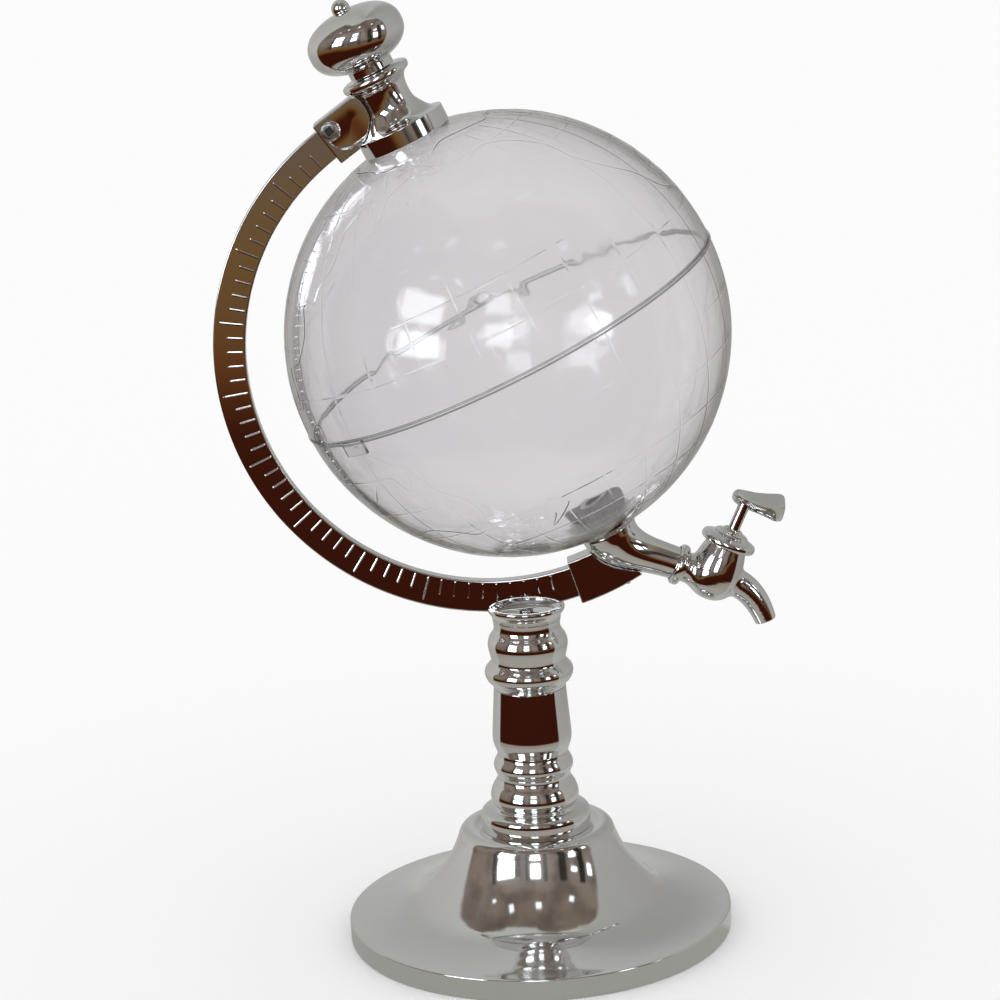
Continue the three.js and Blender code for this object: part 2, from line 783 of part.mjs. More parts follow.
function fittingSide() {
  const rise = fittingTop - fittingCollarTop;
  return [
    [fittingCollarRadius, fittingBottom],
    [fittingCollarRadius, fittingCollarTop - rimEdge],
    ...scaled(trumpetShares, fittingCollarRadius, fittingCollarTop - rimEdge, rise + rimEdge),
  ];
}

function fittingLug(gap) {
  const waist = fittingCollarRadius * Math.min(...trumpetShares.map(([radiusShare]) => radiusShare));
  const length = waist - fittingBore + fittingLugLength - seatGap + gap;
  const lug = new THREE.BoxGeometry(length, fittingLugThickness + 2 * gap, fittingLugHeight + 2 * gap);
  const middle = fittingBottom + fittingLugShare * fittingHeight;
  return solid(lug.translate(-fittingBore - seatGap - length / 2, 0, middle));
}

function neckFitting() {
  const recess = neckRadius + seatGap;
  const body = solid(turned([
    [recess, fittingBottom],
    ...fittingSide(),
    [fittingBore, fittingTop],
    [fittingBore, fittingCeiling],
    [recess, fittingCeiling],
  ]));
  return join(body, fittingLug(0));
}

function fittingSpace() {
  const side = offsetOutline(fittingSide(), -seatGap);
  const [, top] = side[side.length - 1];
  const [, bottom] = side[0];
  return solid(turned([[0, bottom], ...side, [0, top]]));
}

// The stopper

// A seal ring with chamfered outer edges, at a depth below the knob.
function sealRing(depth) {
  const inner = plugRadius - sealRingDepth + seatGap;
  const outer = plugRadius + sealRingStand;
  const top = knobBottom - depth;
  const bottom = top - sealRingHeight;
  const chamfer = sealRingStand;
  return solid(turned([
    [inner, bottom], [outer - chamfer, bottom], [outer, bottom + chamfer], [outer, top - chamfer],
    [outer - chamfer, top], [inner, top],
  ], smallSides));
}

function sealGroove(depth) {
  const bottom = knobBottom - depth - sealRingHeight - seatGap;
  const top = knobBottom - depth + seatGap;
  return solid(tube(plugRadius - sealRingDepth, plugRadius + cutRun, bottom, top, smallSides));
}

function stopperPlug() {
  return cut(
    join(
      solid(rod(plugRadius, knobBottom - seatGap - plugLength, knobBottom - seatGap)),
      solid(rod(plugStudRadius, knobBottom - seatGap - plugLength, knobBottom + plugStudLength, screwSides)),
    ),
    sealGroove(upperSealDepth),
    sealGroove(lowerSealDepth),
  );
}

// The knob is a flattened round whose section is a little squarer than an ellipse.
function knob() {
  const round = Array.from({ length: knobSteps + 1 }, (_, i) => {
    const turn = Math.PI * (i / knobSteps - 1 / 2);
    const out = Math.cos(turn) ** (2 / knobRoundness);
    const up = Math.sign(turn) * Math.abs(Math.sin(turn)) ** (2 / knobRoundness);
    return [knobRadius * Math.max(out, 0), knobMiddle + (knobThickness / 2) * up];
  }).filter(([r, z]) => r > knobNeckRadius || z > knobMiddle);
  round[round.length - 1][0] = 0;
  const bore = plugStudRadius + seatGap;
  const body = solid(turned([
    [0, knobBottom + plugStudLength + seatGap],
    [bore, knobBottom + plugStudLength + seatGap],
    [bore, knobBottom],
    [knobNeckRadius - rimEdge, knobBottom],
    [knobNeckRadius, knobBottom + rimEdge],
    [knobNeckRadius, knobBottom + knobNeckHeight],
    ...round,
  ]));
  const ballSpace = new THREE.SphereGeometry(finialRadius + seatGap, turnedSides, turnedSides / 2);
  const middle = knobTop + finialRadius - finialSink;
  return cut(
    body,
    solid(ballSpace.translate(0, 0, middle)),
    solid(rod(finialStudRadius + seatGap, knobTop - finialStudLength - seatGap, middle, screwSides)),
  );
}

function knobFinial() {
  const middle = knobTop + finialRadius - finialSink;
  const ball = new THREE.SphereGeometry(finialRadius, turnedSides, turnedSides / 2);
  return join(
    solid(ball.translate(0, 0, middle)),
    solid(rod(finialStudRadius, knobTop - finialStudLength, middle, screwSides)),
  );
}

// The outlet

// A place of the tap's own frame, in the head's frame.
function fromTap(x, z) {
  const lean = radians(tapLean);
  return {
    x: tapReach + x * Math.cos(lean) + z * Math.sin(lean),
    z: -globeRadius - tapDrop - x * Math.sin(lean) + z * Math.cos(lean),
  };
}

// The middle line of the elbow: straight down the pole, then round to the tap's inlet.
function elbowLine() {
  const end = fromTap(-couplingPlace - seatGap / 2, 0);
  const bendIn = fromTap(-couplingPlace - elbowTapReach, 0);
  return new THREE.CubicBezierCurve(
    new THREE.Vector2(0, -elbowTop),
    new THREE.Vector2(0, -elbowTop - elbowPoleReach),
    new THREE.Vector2(bendIn.x, bendIn.z),
    new THREE.Vector2(end.x, end.z),
  );
}

// A round section of a path at a share of its length.
function roundSection(line, share, radius) {
  const place = line.getPoint(share);
  const way = line.getTangent(share);
  return { x: place.x, z: place.y, slope: Math.atan2(way.y, way.x), tall: radius, deep: radius };
}

// The section moved on along its own direction, so that a bore runs out past an end.
function movedOn(section, distance) {
  return {
    ...section,
    x: section.x + distance * Math.cos(section.slope),
    z: section.z + distance * Math.sin(section.slope),
  };
}

// The elbow's sections, with the radius given by how much of the flare is left.
function elbowSections(radiusAt) {
  const line = elbowLine();
  return elbowRadiusShares.map(([share, flareShare]) => roundSection(line, share, radiusAt(flareShare)));
}

function elbowOutside(gap) {
  const flare = elbowFlareRadius - elbowEndRadius;
  const sections = elbowSections((flareShare) => elbowEndRadius + flare * flareShare + gap);
  return solid(lofted(sections, turnedSides));
}

function outletElbow(elbowScrewHole) {
  const spigotTop = spigotReach - elbowTop;
  const boreSections = elbowSections(() => pipeBore);
  const top = { ...boreSections[0], z: spigotTop + cutRun };
  const end = movedOn(boreSections[boreSections.length - 1], cutRun);
  return cut(
    join(elbowOutside(0), solid(rod(spigotRadius, -elbowTop - gasketThickness, spigotTop))),
    solid(lofted([top, ...boreSections.slice(1), end])),
    elbowScrewHole,
  );
}

// The elbow screw's places: its hole's end and its own tip, its hole's seat and its own, its head's top, and
// outside the block.
function elbowScrewPlaces() {
  const target = elbowLine().getPoint(elbowScrewPlaceShare);
  const lean = radians(elbowScrewAngle);
  const back = (distance) => ({
    x: target.x - distance * Math.sin(lean),
    z: target.y - distance * Math.cos(lean),
  });
  const holeEnd = pipeBore + elbowScrewWall;
  const holeSeat = holeEnd + elbowScrewLength;
  return {
    holeEnd: back(holeEnd),
    tip: back(holeEnd + seatGap),
    holeSeat: back(holeSeat),
    seat: back(holeSeat + seatGap),
    headEnd: back(holeSeat + elbowScrewHeadHeight),
    outside: back(holeSeat + blockWidth),
  };
}

function elbowScrewSpace() {
  const { holeEnd, holeSeat, outside } = elbowScrewPlaces();
  return join(
    solid(rodBetween(holeSeat, holeEnd, elbowScrewRadius + seatGap)),
    solid(rodBetween(outside, holeSeat, elbowScrewHeadRadius + seatGap)),
  );
}

function elbowScrew() {
  const { tip, seat, headEnd } = elbowScrewPlaces();
  return join(
    solid(rodBetween(headEnd, tip, elbowScrewRadius)),
    solid(rodBetween(headEnd, seat, elbowScrewHeadRadius)),
  );
}

// The tap, in its own frame: X along the inlet, away from the elbow, and Z up the stem.

function couplingRing() {
  const start = -couplingPlace - couplingLength / 2;
  const bore = inletRadius + couplingClearance;
  const outer = couplingShares.map(([r, along]) => [couplingRadius * r, start + couplingLength * along]);
  return solid(turned([[bore, start], ...outer, [bore, start + couplingLength]]).rotateY(Math.PI / 2));
}

// The spout's middle line, from inside the body to its mouth.
function spoutLine() {
  const fall = radians(spoutFall);
  const run = spoutReach * (1 - spoutMiddleShare);
  return new THREE.QuadraticBezierCurve(
    new THREE.Vector2(cavityRadius, spoutRootLift),
    new THREE.Vector2(spoutReach - run, -spoutDrop + run * Math.tan(fall)),
    new THREE.Vector2(spoutReach, -spoutDrop),
  );
}

function spoutSections(radiusAt) {
  const line = spoutLine();
  const shares = Array.from({ length: spoutSteps + 1 }, (_, i) => i / spoutSteps);
  return shares.map((share) => roundSection(line, share, radiusAt(share)));
}

function valveBody() {
  const height = bodyTop + bodyBottom;
  const vase = scaled(valveBodyShares, bodyRadius, -bodyBottom, height);
  const stubEnd = seatGap / 2 - couplingPlace;
  const stubShoulder = -couplingPlace + couplingLength / 2 + seatGap;
  const stub = turned([
    [0, stubEnd], [inletRadius, stubEnd], [inletRadius, stubShoulder],
    [inletWaistRadius, stubShoulder + seatGap], [inletWaistRadius, -cavityRadius], [0, -cavityRadius],
  ], smallSides).rotateY(Math.PI / 2);
  const spout = spoutSections((share) => spoutRootRadius + (spoutEndRadius - spoutRootRadius) * share ** 2);
  const boreSections = spoutSections(() => spoutBore);
  const mouth = movedOn(boreSections[boreSections.length - 1], cutRun);
  const start = { ...boreSections[0], x: 0 };
  const bore = rod(pipeBore, stubEnd - cutRun, 0).rotateY(Math.PI / 2);
  return cut(
    join(
      solid(turned([[0, -bodyBottom], ...vase, [0, bodyTop]])),
      solid(stub),
      solid(lofted(spout, turnedSides)),
    ),
    solid(rod(cavityRadius, -cavityDepth, bodyTop + cutRun)),
    solid(bore),
    solid(lofted([start, ...boreSections, mouth])),
  );
}

function valvePlug() {
  const bottom = -cavityDepth + seatGap;
  const top = bottom + valvePlugHeight;
  return cut(
    solid(rod(cavityRadius - seatGap, bottom, top)),
    solid(crossRod(0, 0, valveBore, -cavityRadius - cutRun, cavityRadius + cutRun, smallSides)),
    solid(rod(stemRadius + seatGap, top - stemSocketDepth, top + cutRun)),
  );
}

const valvePlugTop = -cavityDepth + seatGap + valvePlugHeight;
const stemSealTop = valvePlugTop + seatGap + stemSealHeight;
const bonnetBottom = bodyTop + seatGap;
const stemTop = handleHeight + handleStemDepth;

function bonnet() {
  const bore = stemRadius + seatGap;
  const spigot = cavityRadius - seatGap;
  const side = scaled(bonnetShares, bonnetRadius, bonnetBottom, bonnetHeight);
  return solid(turned([
    [bore, stemSealTop + seatGap],
    [spigot, stemSealTop + seatGap],
    [spigot, bonnetBottom],
    ...side,
    [bore, bonnetBottom + bonnetHeight],
  ]));
}

function valveStem() {
  return cut(
    solid(rod(stemRadius, valvePlugTop - stemSocketDepth + seatGap, stemTop)),
    solid(crossRod(0, handleHeight, handlePinRadius + seatGap, -stemRadius - cutRun, stemRadius + cutRun)),
  );
}

function tapHandle() {
  const endTilt = radians(handleEndTilt);
  const sections = handleShares.map(([along, up, tall, deep]) => ({
    x: along * handleLength - handleHubOffset,
    z: handleHeight + up * handleLength,
    slope: along * endTilt,
    tall: tall * handleEndHalfHeight,
    deep: deep * handleEndHalfHeight,
  }));
  const pinHole = crossRod(0, handleHeight, handlePinRadius + seatGap, -cutRun - handleEndHalfHeight,
    cutRun + handleEndHalfHeight);
  return cut(
    solid(lofted(sections)),
    solid(rod(stemRadius + seatGap, handleHeight - handleEndHalfHeight - cutRun, stemTop + seatGap)),
    solid(pinHole),
  );
}

// Assembly

const stand = new THREE.Group();
const head = new THREE.Group();
const tap = new THREE.Group();
const dispenser = new THREE.Group();

// The head leans on the column: its arm's ring rests in the cup, a little beside the ring's lowest point.
const tilt = radians(headTilt);
const armCentreHeight = armSeatHeight + Math.sqrt(armOuterRadius ** 2 - armSeatShift ** 2);
head.rotation.y = -tilt;
head.position.set(
  armShift * Math.cos(tilt) - armDrop * Math.sin(tilt) - armSeatShift,
  0,
  armShift * Math.sin(tilt) + armDrop * Math.cos(tilt) + armCentreHeight,
);
tap.rotation.y = radians(tapLean);
tap.position.set(tapReach, 0, -globeRadius - tapDrop);

// The band's space in the stand's frame, and the cup screw's hole in the head's frame.
head.updateMatrix();
const armSpaceInStand = solid(armBand(seatGap).applyMatrix4(head.matrix));
const cupScrewTop = armSeatHeight + armScrewReach;
const cupScrewHole = solid(rod(armScrewBore, armSeatHeight - cutRun, cupScrewTop + seatGap, screwSides)
  .applyMatrix4(head.matrix.clone().invert()));

buildStand(stand, armSpaceInStand);

const armSpace = solid(armBand(seatGap));
const elbowScrewHole = elbowScrewSpace();
const elbowSpace = elbowOutside(seatGap);
const innerWasherBottom = -outletInnerFace + seatGap;
const innerNutBottom = innerWasherBottom + outletWasherThickness + seatGap;

addPiece(head, 'meridian_arm', meridianArm(cupScrewHole), 'chrome');
addPiece(head, 'upper_block', upperBlock(armSpace, fittingSpace(), fittingLug(seatGap)), 'chrome');
addPiece(head, 'upper_block_screw', upperBlockScrew(), 'zincSteel');
addPiece(head, 'lower_block', lowerBlock(armSpace, elbowSpace, elbowScrewHole), 'chrome');
addPiece(head, 'lower_block_screw', lowerBlockScrew(), 'zincSteel');
addPiece(head, 'elbow_screw', elbowScrew(), 'zincSteel');
addPiece(head, 'globe_upper', globeUpper(), 'clear');
addPiece(head, 'globe_lower', globeLower(), 'clear');
addPiece(head, 'globe_seal', globeSeal(), 'clearSeal');
addPiece(head, 'neck_fitting', neckFitting(), 'chrome');
addPiece(head, 'neck_gasket', solid(tube(neckRadius - neckWall + gasketInset, neckRadius - gasketInset,
  neckTop + seatGap, neckTop + seatGap + gasketThickness)), 'clearSeal');
addPiece(head, 'stopper_plug', stopperPlug(), 'whitePlastic');
addPiece(head, 'stopper_seal_upper', sealRing(upperSealDepth), 'clearSeal');
addPiece(head, 'stopper_seal_lower', sealRing(lowerSealDepth), 'clearSeal');
addPiece(head, 'knob', knob(), 'chrome');
addPiece(head, 'knob_finial', knobFinial(), 'chrome');
addPiece(head, 'outlet_elbow', outletElbow(elbowScrewHole), 'chrome');
addPiece(head, 'outlet_gasket', solid(tube(spigotBore, elbowFlareRadius, -outletBossFace - seatGap
  - gasketThickness, -outletBossFace - seatGap)), 'clearSeal');
addPiece(head, 'outlet_washer', solid(tube(spigotBore, outletWasherRadius, innerWasherBottom,
  innerWasherBottom + outletWasherThickness)), 'clearSeal');
addPiece(head, 'outlet_nut', solid(tube(spigotBore, outletNutRadius, innerNutBottom,
  innerNutBottom + outletNutHeight)), 'greyPlastic');

addPiece(tap, 'coupling_ring', couplingRing(), 'chrome');
addPiece(tap, 'valve_body', valveBody(), 'chrome');
addPiece(tap, 'valve_plug', valvePlug(), 'zincSteel');
addPiece(tap, 'stem_seal', solid(tube(stemRadius + seatGap, cavityRadius - seatGap, valvePlugTop + seatGap,
  stemSealTop, smallSides)), 'darkRubber');
addPiece(tap, 'bonnet', bonnet(), 'chrome');
addPiece(tap, 'valve_stem', valveStem(), 'chrome');
addPiece(tap, 'tap_handle', tapHandle(), 'chrome');
addPiece(tap, 'handle_pin', solid(crossRod(0, handleHeight, handlePinRadius, -handlePinHalfLength,
  handlePinHalfLength)), 'zincSteel');

head.add(tap);
dispenser.add(stand, head);

export default dispenser;
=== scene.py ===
# The looks of a liquor dispenser: a clear globe tank on a chrome stand, with a lift-out stopper and a tap.
# A form's sizes are in millimetres, in the frame of the stand, the head or the tap. A piece is in metres.

import json
import math
from collections import namedtuple

import bmesh
import bpy
import numpy as np
from mathutils import Matrix, Vector


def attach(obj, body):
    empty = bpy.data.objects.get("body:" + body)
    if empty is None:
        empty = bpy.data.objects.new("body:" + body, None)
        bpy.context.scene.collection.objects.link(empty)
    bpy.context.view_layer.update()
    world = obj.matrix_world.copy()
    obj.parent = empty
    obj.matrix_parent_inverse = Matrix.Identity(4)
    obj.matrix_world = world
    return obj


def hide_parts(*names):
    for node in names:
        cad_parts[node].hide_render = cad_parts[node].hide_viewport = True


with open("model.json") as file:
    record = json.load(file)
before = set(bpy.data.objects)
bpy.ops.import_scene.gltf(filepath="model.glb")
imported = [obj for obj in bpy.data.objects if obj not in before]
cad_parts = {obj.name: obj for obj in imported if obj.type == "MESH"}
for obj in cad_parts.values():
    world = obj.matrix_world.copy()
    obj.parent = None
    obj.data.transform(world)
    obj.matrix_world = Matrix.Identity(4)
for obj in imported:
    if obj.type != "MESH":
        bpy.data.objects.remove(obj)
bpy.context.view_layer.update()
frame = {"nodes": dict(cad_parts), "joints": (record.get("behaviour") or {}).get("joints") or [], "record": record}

MM = 0.001
GAP = 0.3
REST_GAP = 0.05
RING_EDGE = 0.25
PLAIN_EDGE = 0.3
THIN_EDGE = 0.2
SOFT_EDGE = 0.6

# Base and column
BASE_RADIUS = 86.9
RIM_HEIGHT = 9.8
RIM_EDGE = 0.6
RIM_LIFT = 0.4
SHELL_WALL = 2.4
SHELL_TOP = 49.6
PAD_THICKNESS = 1.5
COVER_THICKNESS = 2
COVER_GAP = 0.5
ROD_BORE = 3.3
COLLAR_RADIUS = 24.9
COLLAR_HEIGHT = 12.2
COLUMN_RADIUS = 19.9
COLUMN_LOWER_HEIGHT = 23.2
COLUMN_MIDDLE_HEIGHT = 30.4
COLUMN_UPPER_HEIGHT = 31.6
CUP_RADIUS = 17.3
CUP_HEIGHT = 6.4
CUP_DISH_DEPTH = 3
CUP_SEAT_RADIUS = 3
ARM_SEAT_DROP = 1.7
ARM_SCREW_BORE = 1.8

# Arm and blocks
ARM_CLEARANCE = 8.3
ARM_WIDTH = 14.2
ARM_THICKNESS = 6
ARM_SHIFT = 10.15
ARM_DROP = 1.3
ARM_EDGE = 0.7
ARM_INSERTION = 8.9
BLOCK_WIDTH = 20.1
BLOCK_THICKNESS = 11
BLOCK_EDGE = 0.6
BLOCK_CELL = 0.33
LOWER_BLOCK_CELL = 0.36
ARM_SLOT_EDGE = 0.2
BLOCK_CUT_EDGE = 0.3
UPPER_BLOCK_OFFSET = 31.7
UPPER_BLOCK_LENGTH = 24
LOWER_BLOCK_OFFSET = 23.9
LOWER_BLOCK_REACH = 3.6
POCKET_BORDER = 1.9
POCKET_SHIFT = 1
POCKET_CORNER = 7
POCKET_DEPTH = 1.3
POCKET_RUN = 14
POCKET_WALL = 0.3
BOSS_WALL = 0.8
SCREW_INSET = 4.6
SCREW_OFFSET = 4.3
SCREW_HEAD_RADIUS = 3.7
SCREW_BOSS_RADIUS = 4
SCREW_STAND = 1.3
SCREW_SOCKET = 3.2
SCREW_EDGE = 1.1
SCREW_SPIN = 16
SCREW_SOCKET_DEPTH = 0.9 * SCREW_STAND
# How far the socket's painted shade reaches from the screw's axis, and how deep its mouth stays unshaded.
SCREW_SOCKET_REACH = 0.72 * SCREW_SOCKET
SOCKET_LIP = 0.1
MARK_PITCH = 3.25
MARK_START = 180.1
MARK_WIDTH = 1
MARK_HEIGHT = 0.2
MARK_WEAR_SHARES = [(0, 0.35), (0.15, 0.45), (0.4, 0.75), (0.6, 1), (1, 1)]
MARK_INSET = 0.9
MARK_LENGTH = 7.2
LONG_MARK_LENGTH = 11.2
LONG_MARK_EVERY = 5

# Globe
GLOBE_RADIUS = 97.5
GLOBE_WALL = 3
RIPPLE_REACH = 0.05
SEAL_HEIGHT = 1.2
SEAL_STAND = 0.5
SEAL_INNER_GAP = 0.2
SEAL_TAB_ANGLE = 221.4
SEAL_TAB_WIDTH = 14
SEAL_TAB_DROP = 4.9
SEAL_TAB_THICKNESS = 1.5
NECK_RADIUS = 14
NECK_WALL = 3
NECK_SEAT_DROP = 1.9
NECK_HEIGHT = 5.9
RIDGE_WIDTH = 1.6
RIDGE_HEIGHT = 0.065
RIDGE_FOOT = 0.005
RIDGE_SINK = 0.4
COAST_WIDTH = 1.7
COAST_HEIGHT = 0.1
MERIDIAN_STEP = 15
MERIDIAN_START = -79
PARALLEL_STEP = 12
PARALLEL_COUNT = 5
HIGHEST_PARALLEL = 66

# Neck fitting and stopper
FITTING_BORE = 7.8
FITTING_RADIUS = 19.9
FITTING_COLLAR_HEIGHT = 7.5
FITTING_HEIGHT = 32.1
FITTING_EDGE = 0.35
LUG_LENGTH = 6.5
LUG_HEIGHT = 8
LUG_THICKNESS = 4
LUG_SHARE = 0.56
GASKET_THICKNESS = 1.2
PLUG_RADIUS = 7.2
PLUG_LENGTH = 16
PLUG_STUD_RADIUS = 4
PLUG_STUD_LENGTH = 9
SEAL_RING_HEIGHT = 1.6
SEAL_RING_DEPTH = 1.2
SEAL_RING_STAND = 0.3
UPPER_SEAL_DEPTH = 4
LOWER_SEAL_DEPTH = 10
KNOB_RADIUS = 21.7
KNOB_THICKNESS = 26.2
KNOB_NECK_RADIUS = 10
KNOB_NECK_HEIGHT = 2.6
KNOB_ROUNDNESS = 2.3
KNOB_EDGE = 0.4
FINIAL_RADIUS = 4
FINIAL_SINK = 3

# Outlet
OUTLET_BOSS_RADIUS = 14.5
OUTLET_BOSS_DROP = 0.6
OUTLET_INNER_RADIUS = 17.8
OUTLET_INNER_DROP = 2.1
SPIGOT_RADIUS = 7.6
SPIGOT_REACH = 14.1
SPIGOT_EDGE = 0.4
OUTLET_NUT_RADIUS = 13.6
OUTLET_NUT_HEIGHT = 5.2
OUTLET_NUT_RIBS = 30
OUTLET_NUT_RIB_DEPTH = 0.7
OUTLET_WASHER_RADIUS = 15
OUTLET_WASHER_THICKNESS = 1
ELBOW_FLARE_RADIUS = 12.8
ELBOW_END_RADIUS = 7.4
ELBOW_POLE_REACH = 12
ELBOW_TAP_REACH = 14

# Tap
TAP_REACH = 31.5
TAP_DROP = 42.6
COUPLING_PLACE = 16
COUPLING_LENGTH = 4.4
COUPLING_RADIUS = 9.3
COUPLING_BORE = 7.85
INLET_RADIUS = 7.4
INLET_WAIST_RADIUS = 6.7
PIPE_BORE = 4.4
BODY_RADIUS = 11.7
BODY_TOP = 16
BODY_BOTTOM = 9.8
CAVITY_RADIUS = 6.3
CAVITY_DEPTH = 5
STEM_RADIUS = 2.6
STEM_SINK = 8
BONNET_RADIUS = 12.5
BONNET_HEIGHT = 7.9
HANDLE_LENGTH = 24
HANDLE_END_HALF_HEIGHT = 6.2
HANDLE_HEIGHT = 38.7
HANDLE_HUB_OFFSET = 6.7
HANDLE_END_TILT = 14.7
HANDLE_ROUNDNESS = 1.12
HANDLE_TWIST = 18
HANDLE_STEM_DEPTH = 1.9
SPOUT_REACH = 29.8
SPOUT_DROP = 9.2
SPOUT_ROOT_RADIUS = 6.4
SPOUT_ROOT_LIFT = 1.6
SPOUT_END_RADIUS = 4.8
SPOUT_BORE = 3.6
SPOUT_FALL = 48
SPOUT_MIDDLE_SHARE = 0.62
BODY_FILLET = 2.2
BODY_EDGE = 0.4
BODY_CELL = 0.4
SPOUT_EDGE = 0.5
SPOUT_OVERRUN = 6

# Outlines, as shares of the sizes that they follow
# Each row is a radius share, then a height share, from the bottom up.
BELL_SHARES = [
    (0, 1), (0.026, 1.01), (0.058, 1.023), (0.09, 1.025), (0.121, 1.013), (0.147, 0.985), (0.163, 0.945),
    (0.174, 0.892), (0.189, 0.832), (0.213, 0.744), (0.242, 0.656), (0.274, 0.575), (0.311, 0.495),
    (0.355, 0.412), (0.405, 0.327), (0.461, 0.244), (0.518, 0.178), (0.598, 0.122), (0.695, 0.077),
    (0.808, 0.038), (0.905, 0.015), (0.987, 0.003),
]
COLLAR_SHARES = [
    (0.994, 0.44), (0.98, 0.59), (0.948, 0.672), (0.86, 0.738), (0.779, 0.803), (0.771, 0.885),
    (0.723, 0.951), (0.703, 1),
]
COLUMN_LOWER_SHARES = [
    (0.975, 0), (1, 0.086), (0.995, 0.168), (0.97, 0.25), (0.93, 0.332), (0.87, 0.414), (0.834, 0.483),
    (0.834, 0.552), (0.86, 0.612), (0.892, 0.681), (0.9, 0.741), (0.884, 0.81), (0.85, 0.871), (0.814, 0.931),
    (0.8, 1),
]
COLUMN_MIDDLE_SHARES = [
    (0.8, 0), (0.83, 0.053), (0.864, 0.112), (0.89, 0.174), (0.897, 0.243), (0.892, 0.329), (0.874, 0.493),
    (0.855, 0.658), (0.836, 0.822), (0.824, 0.931), (0.816, 1),
]
COLUMN_UPPER_SHARES = [
    (0.804, 0), (0.849, 0.054), (0.93, 0.108), (0.98, 0.165), (1, 0.228), (0.977, 0.288), (0.91, 0.342),
    (0.849, 0.386), (0.844, 0.424), (0.859, 0.475), (0.882, 0.538), (0.903, 0.633), (0.887, 0.703),
    (0.849, 0.763), (0.789, 0.816), (0.754, 0.867), (0.751, 0.93), (0.769, 1),
]
CUP_OUTER_SHARES = [
    (0.884, 0), (0.902, 0.25), (0.942, 0.438), (0.983, 0.594), (1, 0.75), (0.994, 0.906), (0.965, 1),
]
CUP_DISH_SHARES = [(0.925, 0), (0.9, 0.4), (0.85, 0.76), (0.77, 0.95), (0.66, 1), (0.18, 1)]
TRUMPET_SHARES = [
    (0.975, 0.02), (0.874, 0.033), (0.739, 0.114), (0.618, 0.244), (0.548, 0.346), (0.528, 0.467),
    (0.533, 0.589), (0.563, 0.711), (0.633, 0.793), (0.744, 0.85), (0.769, 0.907), (0.749, 0.963), (0.653, 1),
]
# The elbow along its length: a share of the length, then of the way from its end's radius to the flare's.
ELBOW_RADIUS_SHARES = [
    (0, 0.94), (0.015, 1), (0.06, 0.98), (0.14, 0.92), (0.24, 0.77), (0.34, 0.59), (0.44, 0.42), (0.54, 0.27),
    (0.66, 0.14), (0.8, 0.05), (0.92, 0), (1, 0),
]
VALVE_BODY_SHARES = [
    (0, 0), (0.3, 0.015), (0.556, 0.058), (0.769, 0.136), (0.923, 0.256), (0.991, 0.411), (1, 0.554),
    (0.95, 0.7), (0.89, 0.83), (0.83, 0.93), (0.79, 1),
]
BONNET_SHARES = [
    (0.896, 0), (0.976, 0.076), (1, 0.253), (0.96, 0.418), (0.816, 0.506), (0.672, 0.582), (0.624, 0.696),
    (0.528, 0.797), (0.384, 0.861), (0.336, 0.975),
]
# Handle sections: shares of its length along and up, then of its end's half height, tall and deep.
HANDLE_SHARES = [
    (0, 0.008, 0.08, 0.08), (0.02, 0.004, 0.3, 0.32), (0.085, 0, 0.5, 0.55), (0.215, -0.004, 0.6, 0.7),
    (0.42, 0.008, 0.69, 0.82), (0.65, 0.038, 0.83, 0.97), (0.87, 0.067, 1, 1.12), (0.94, 0.083, 0.95, 1.06),
    (0.985, 0.096, 0.71, 0.78), (1, 0.1, 0.1, 0.1),
]
COUPLING_SHARES = [(0.85, 0), (0.95, 0.12), (1, 0.35), (1, 0.65), (0.95, 0.88), (0.85, 1)]

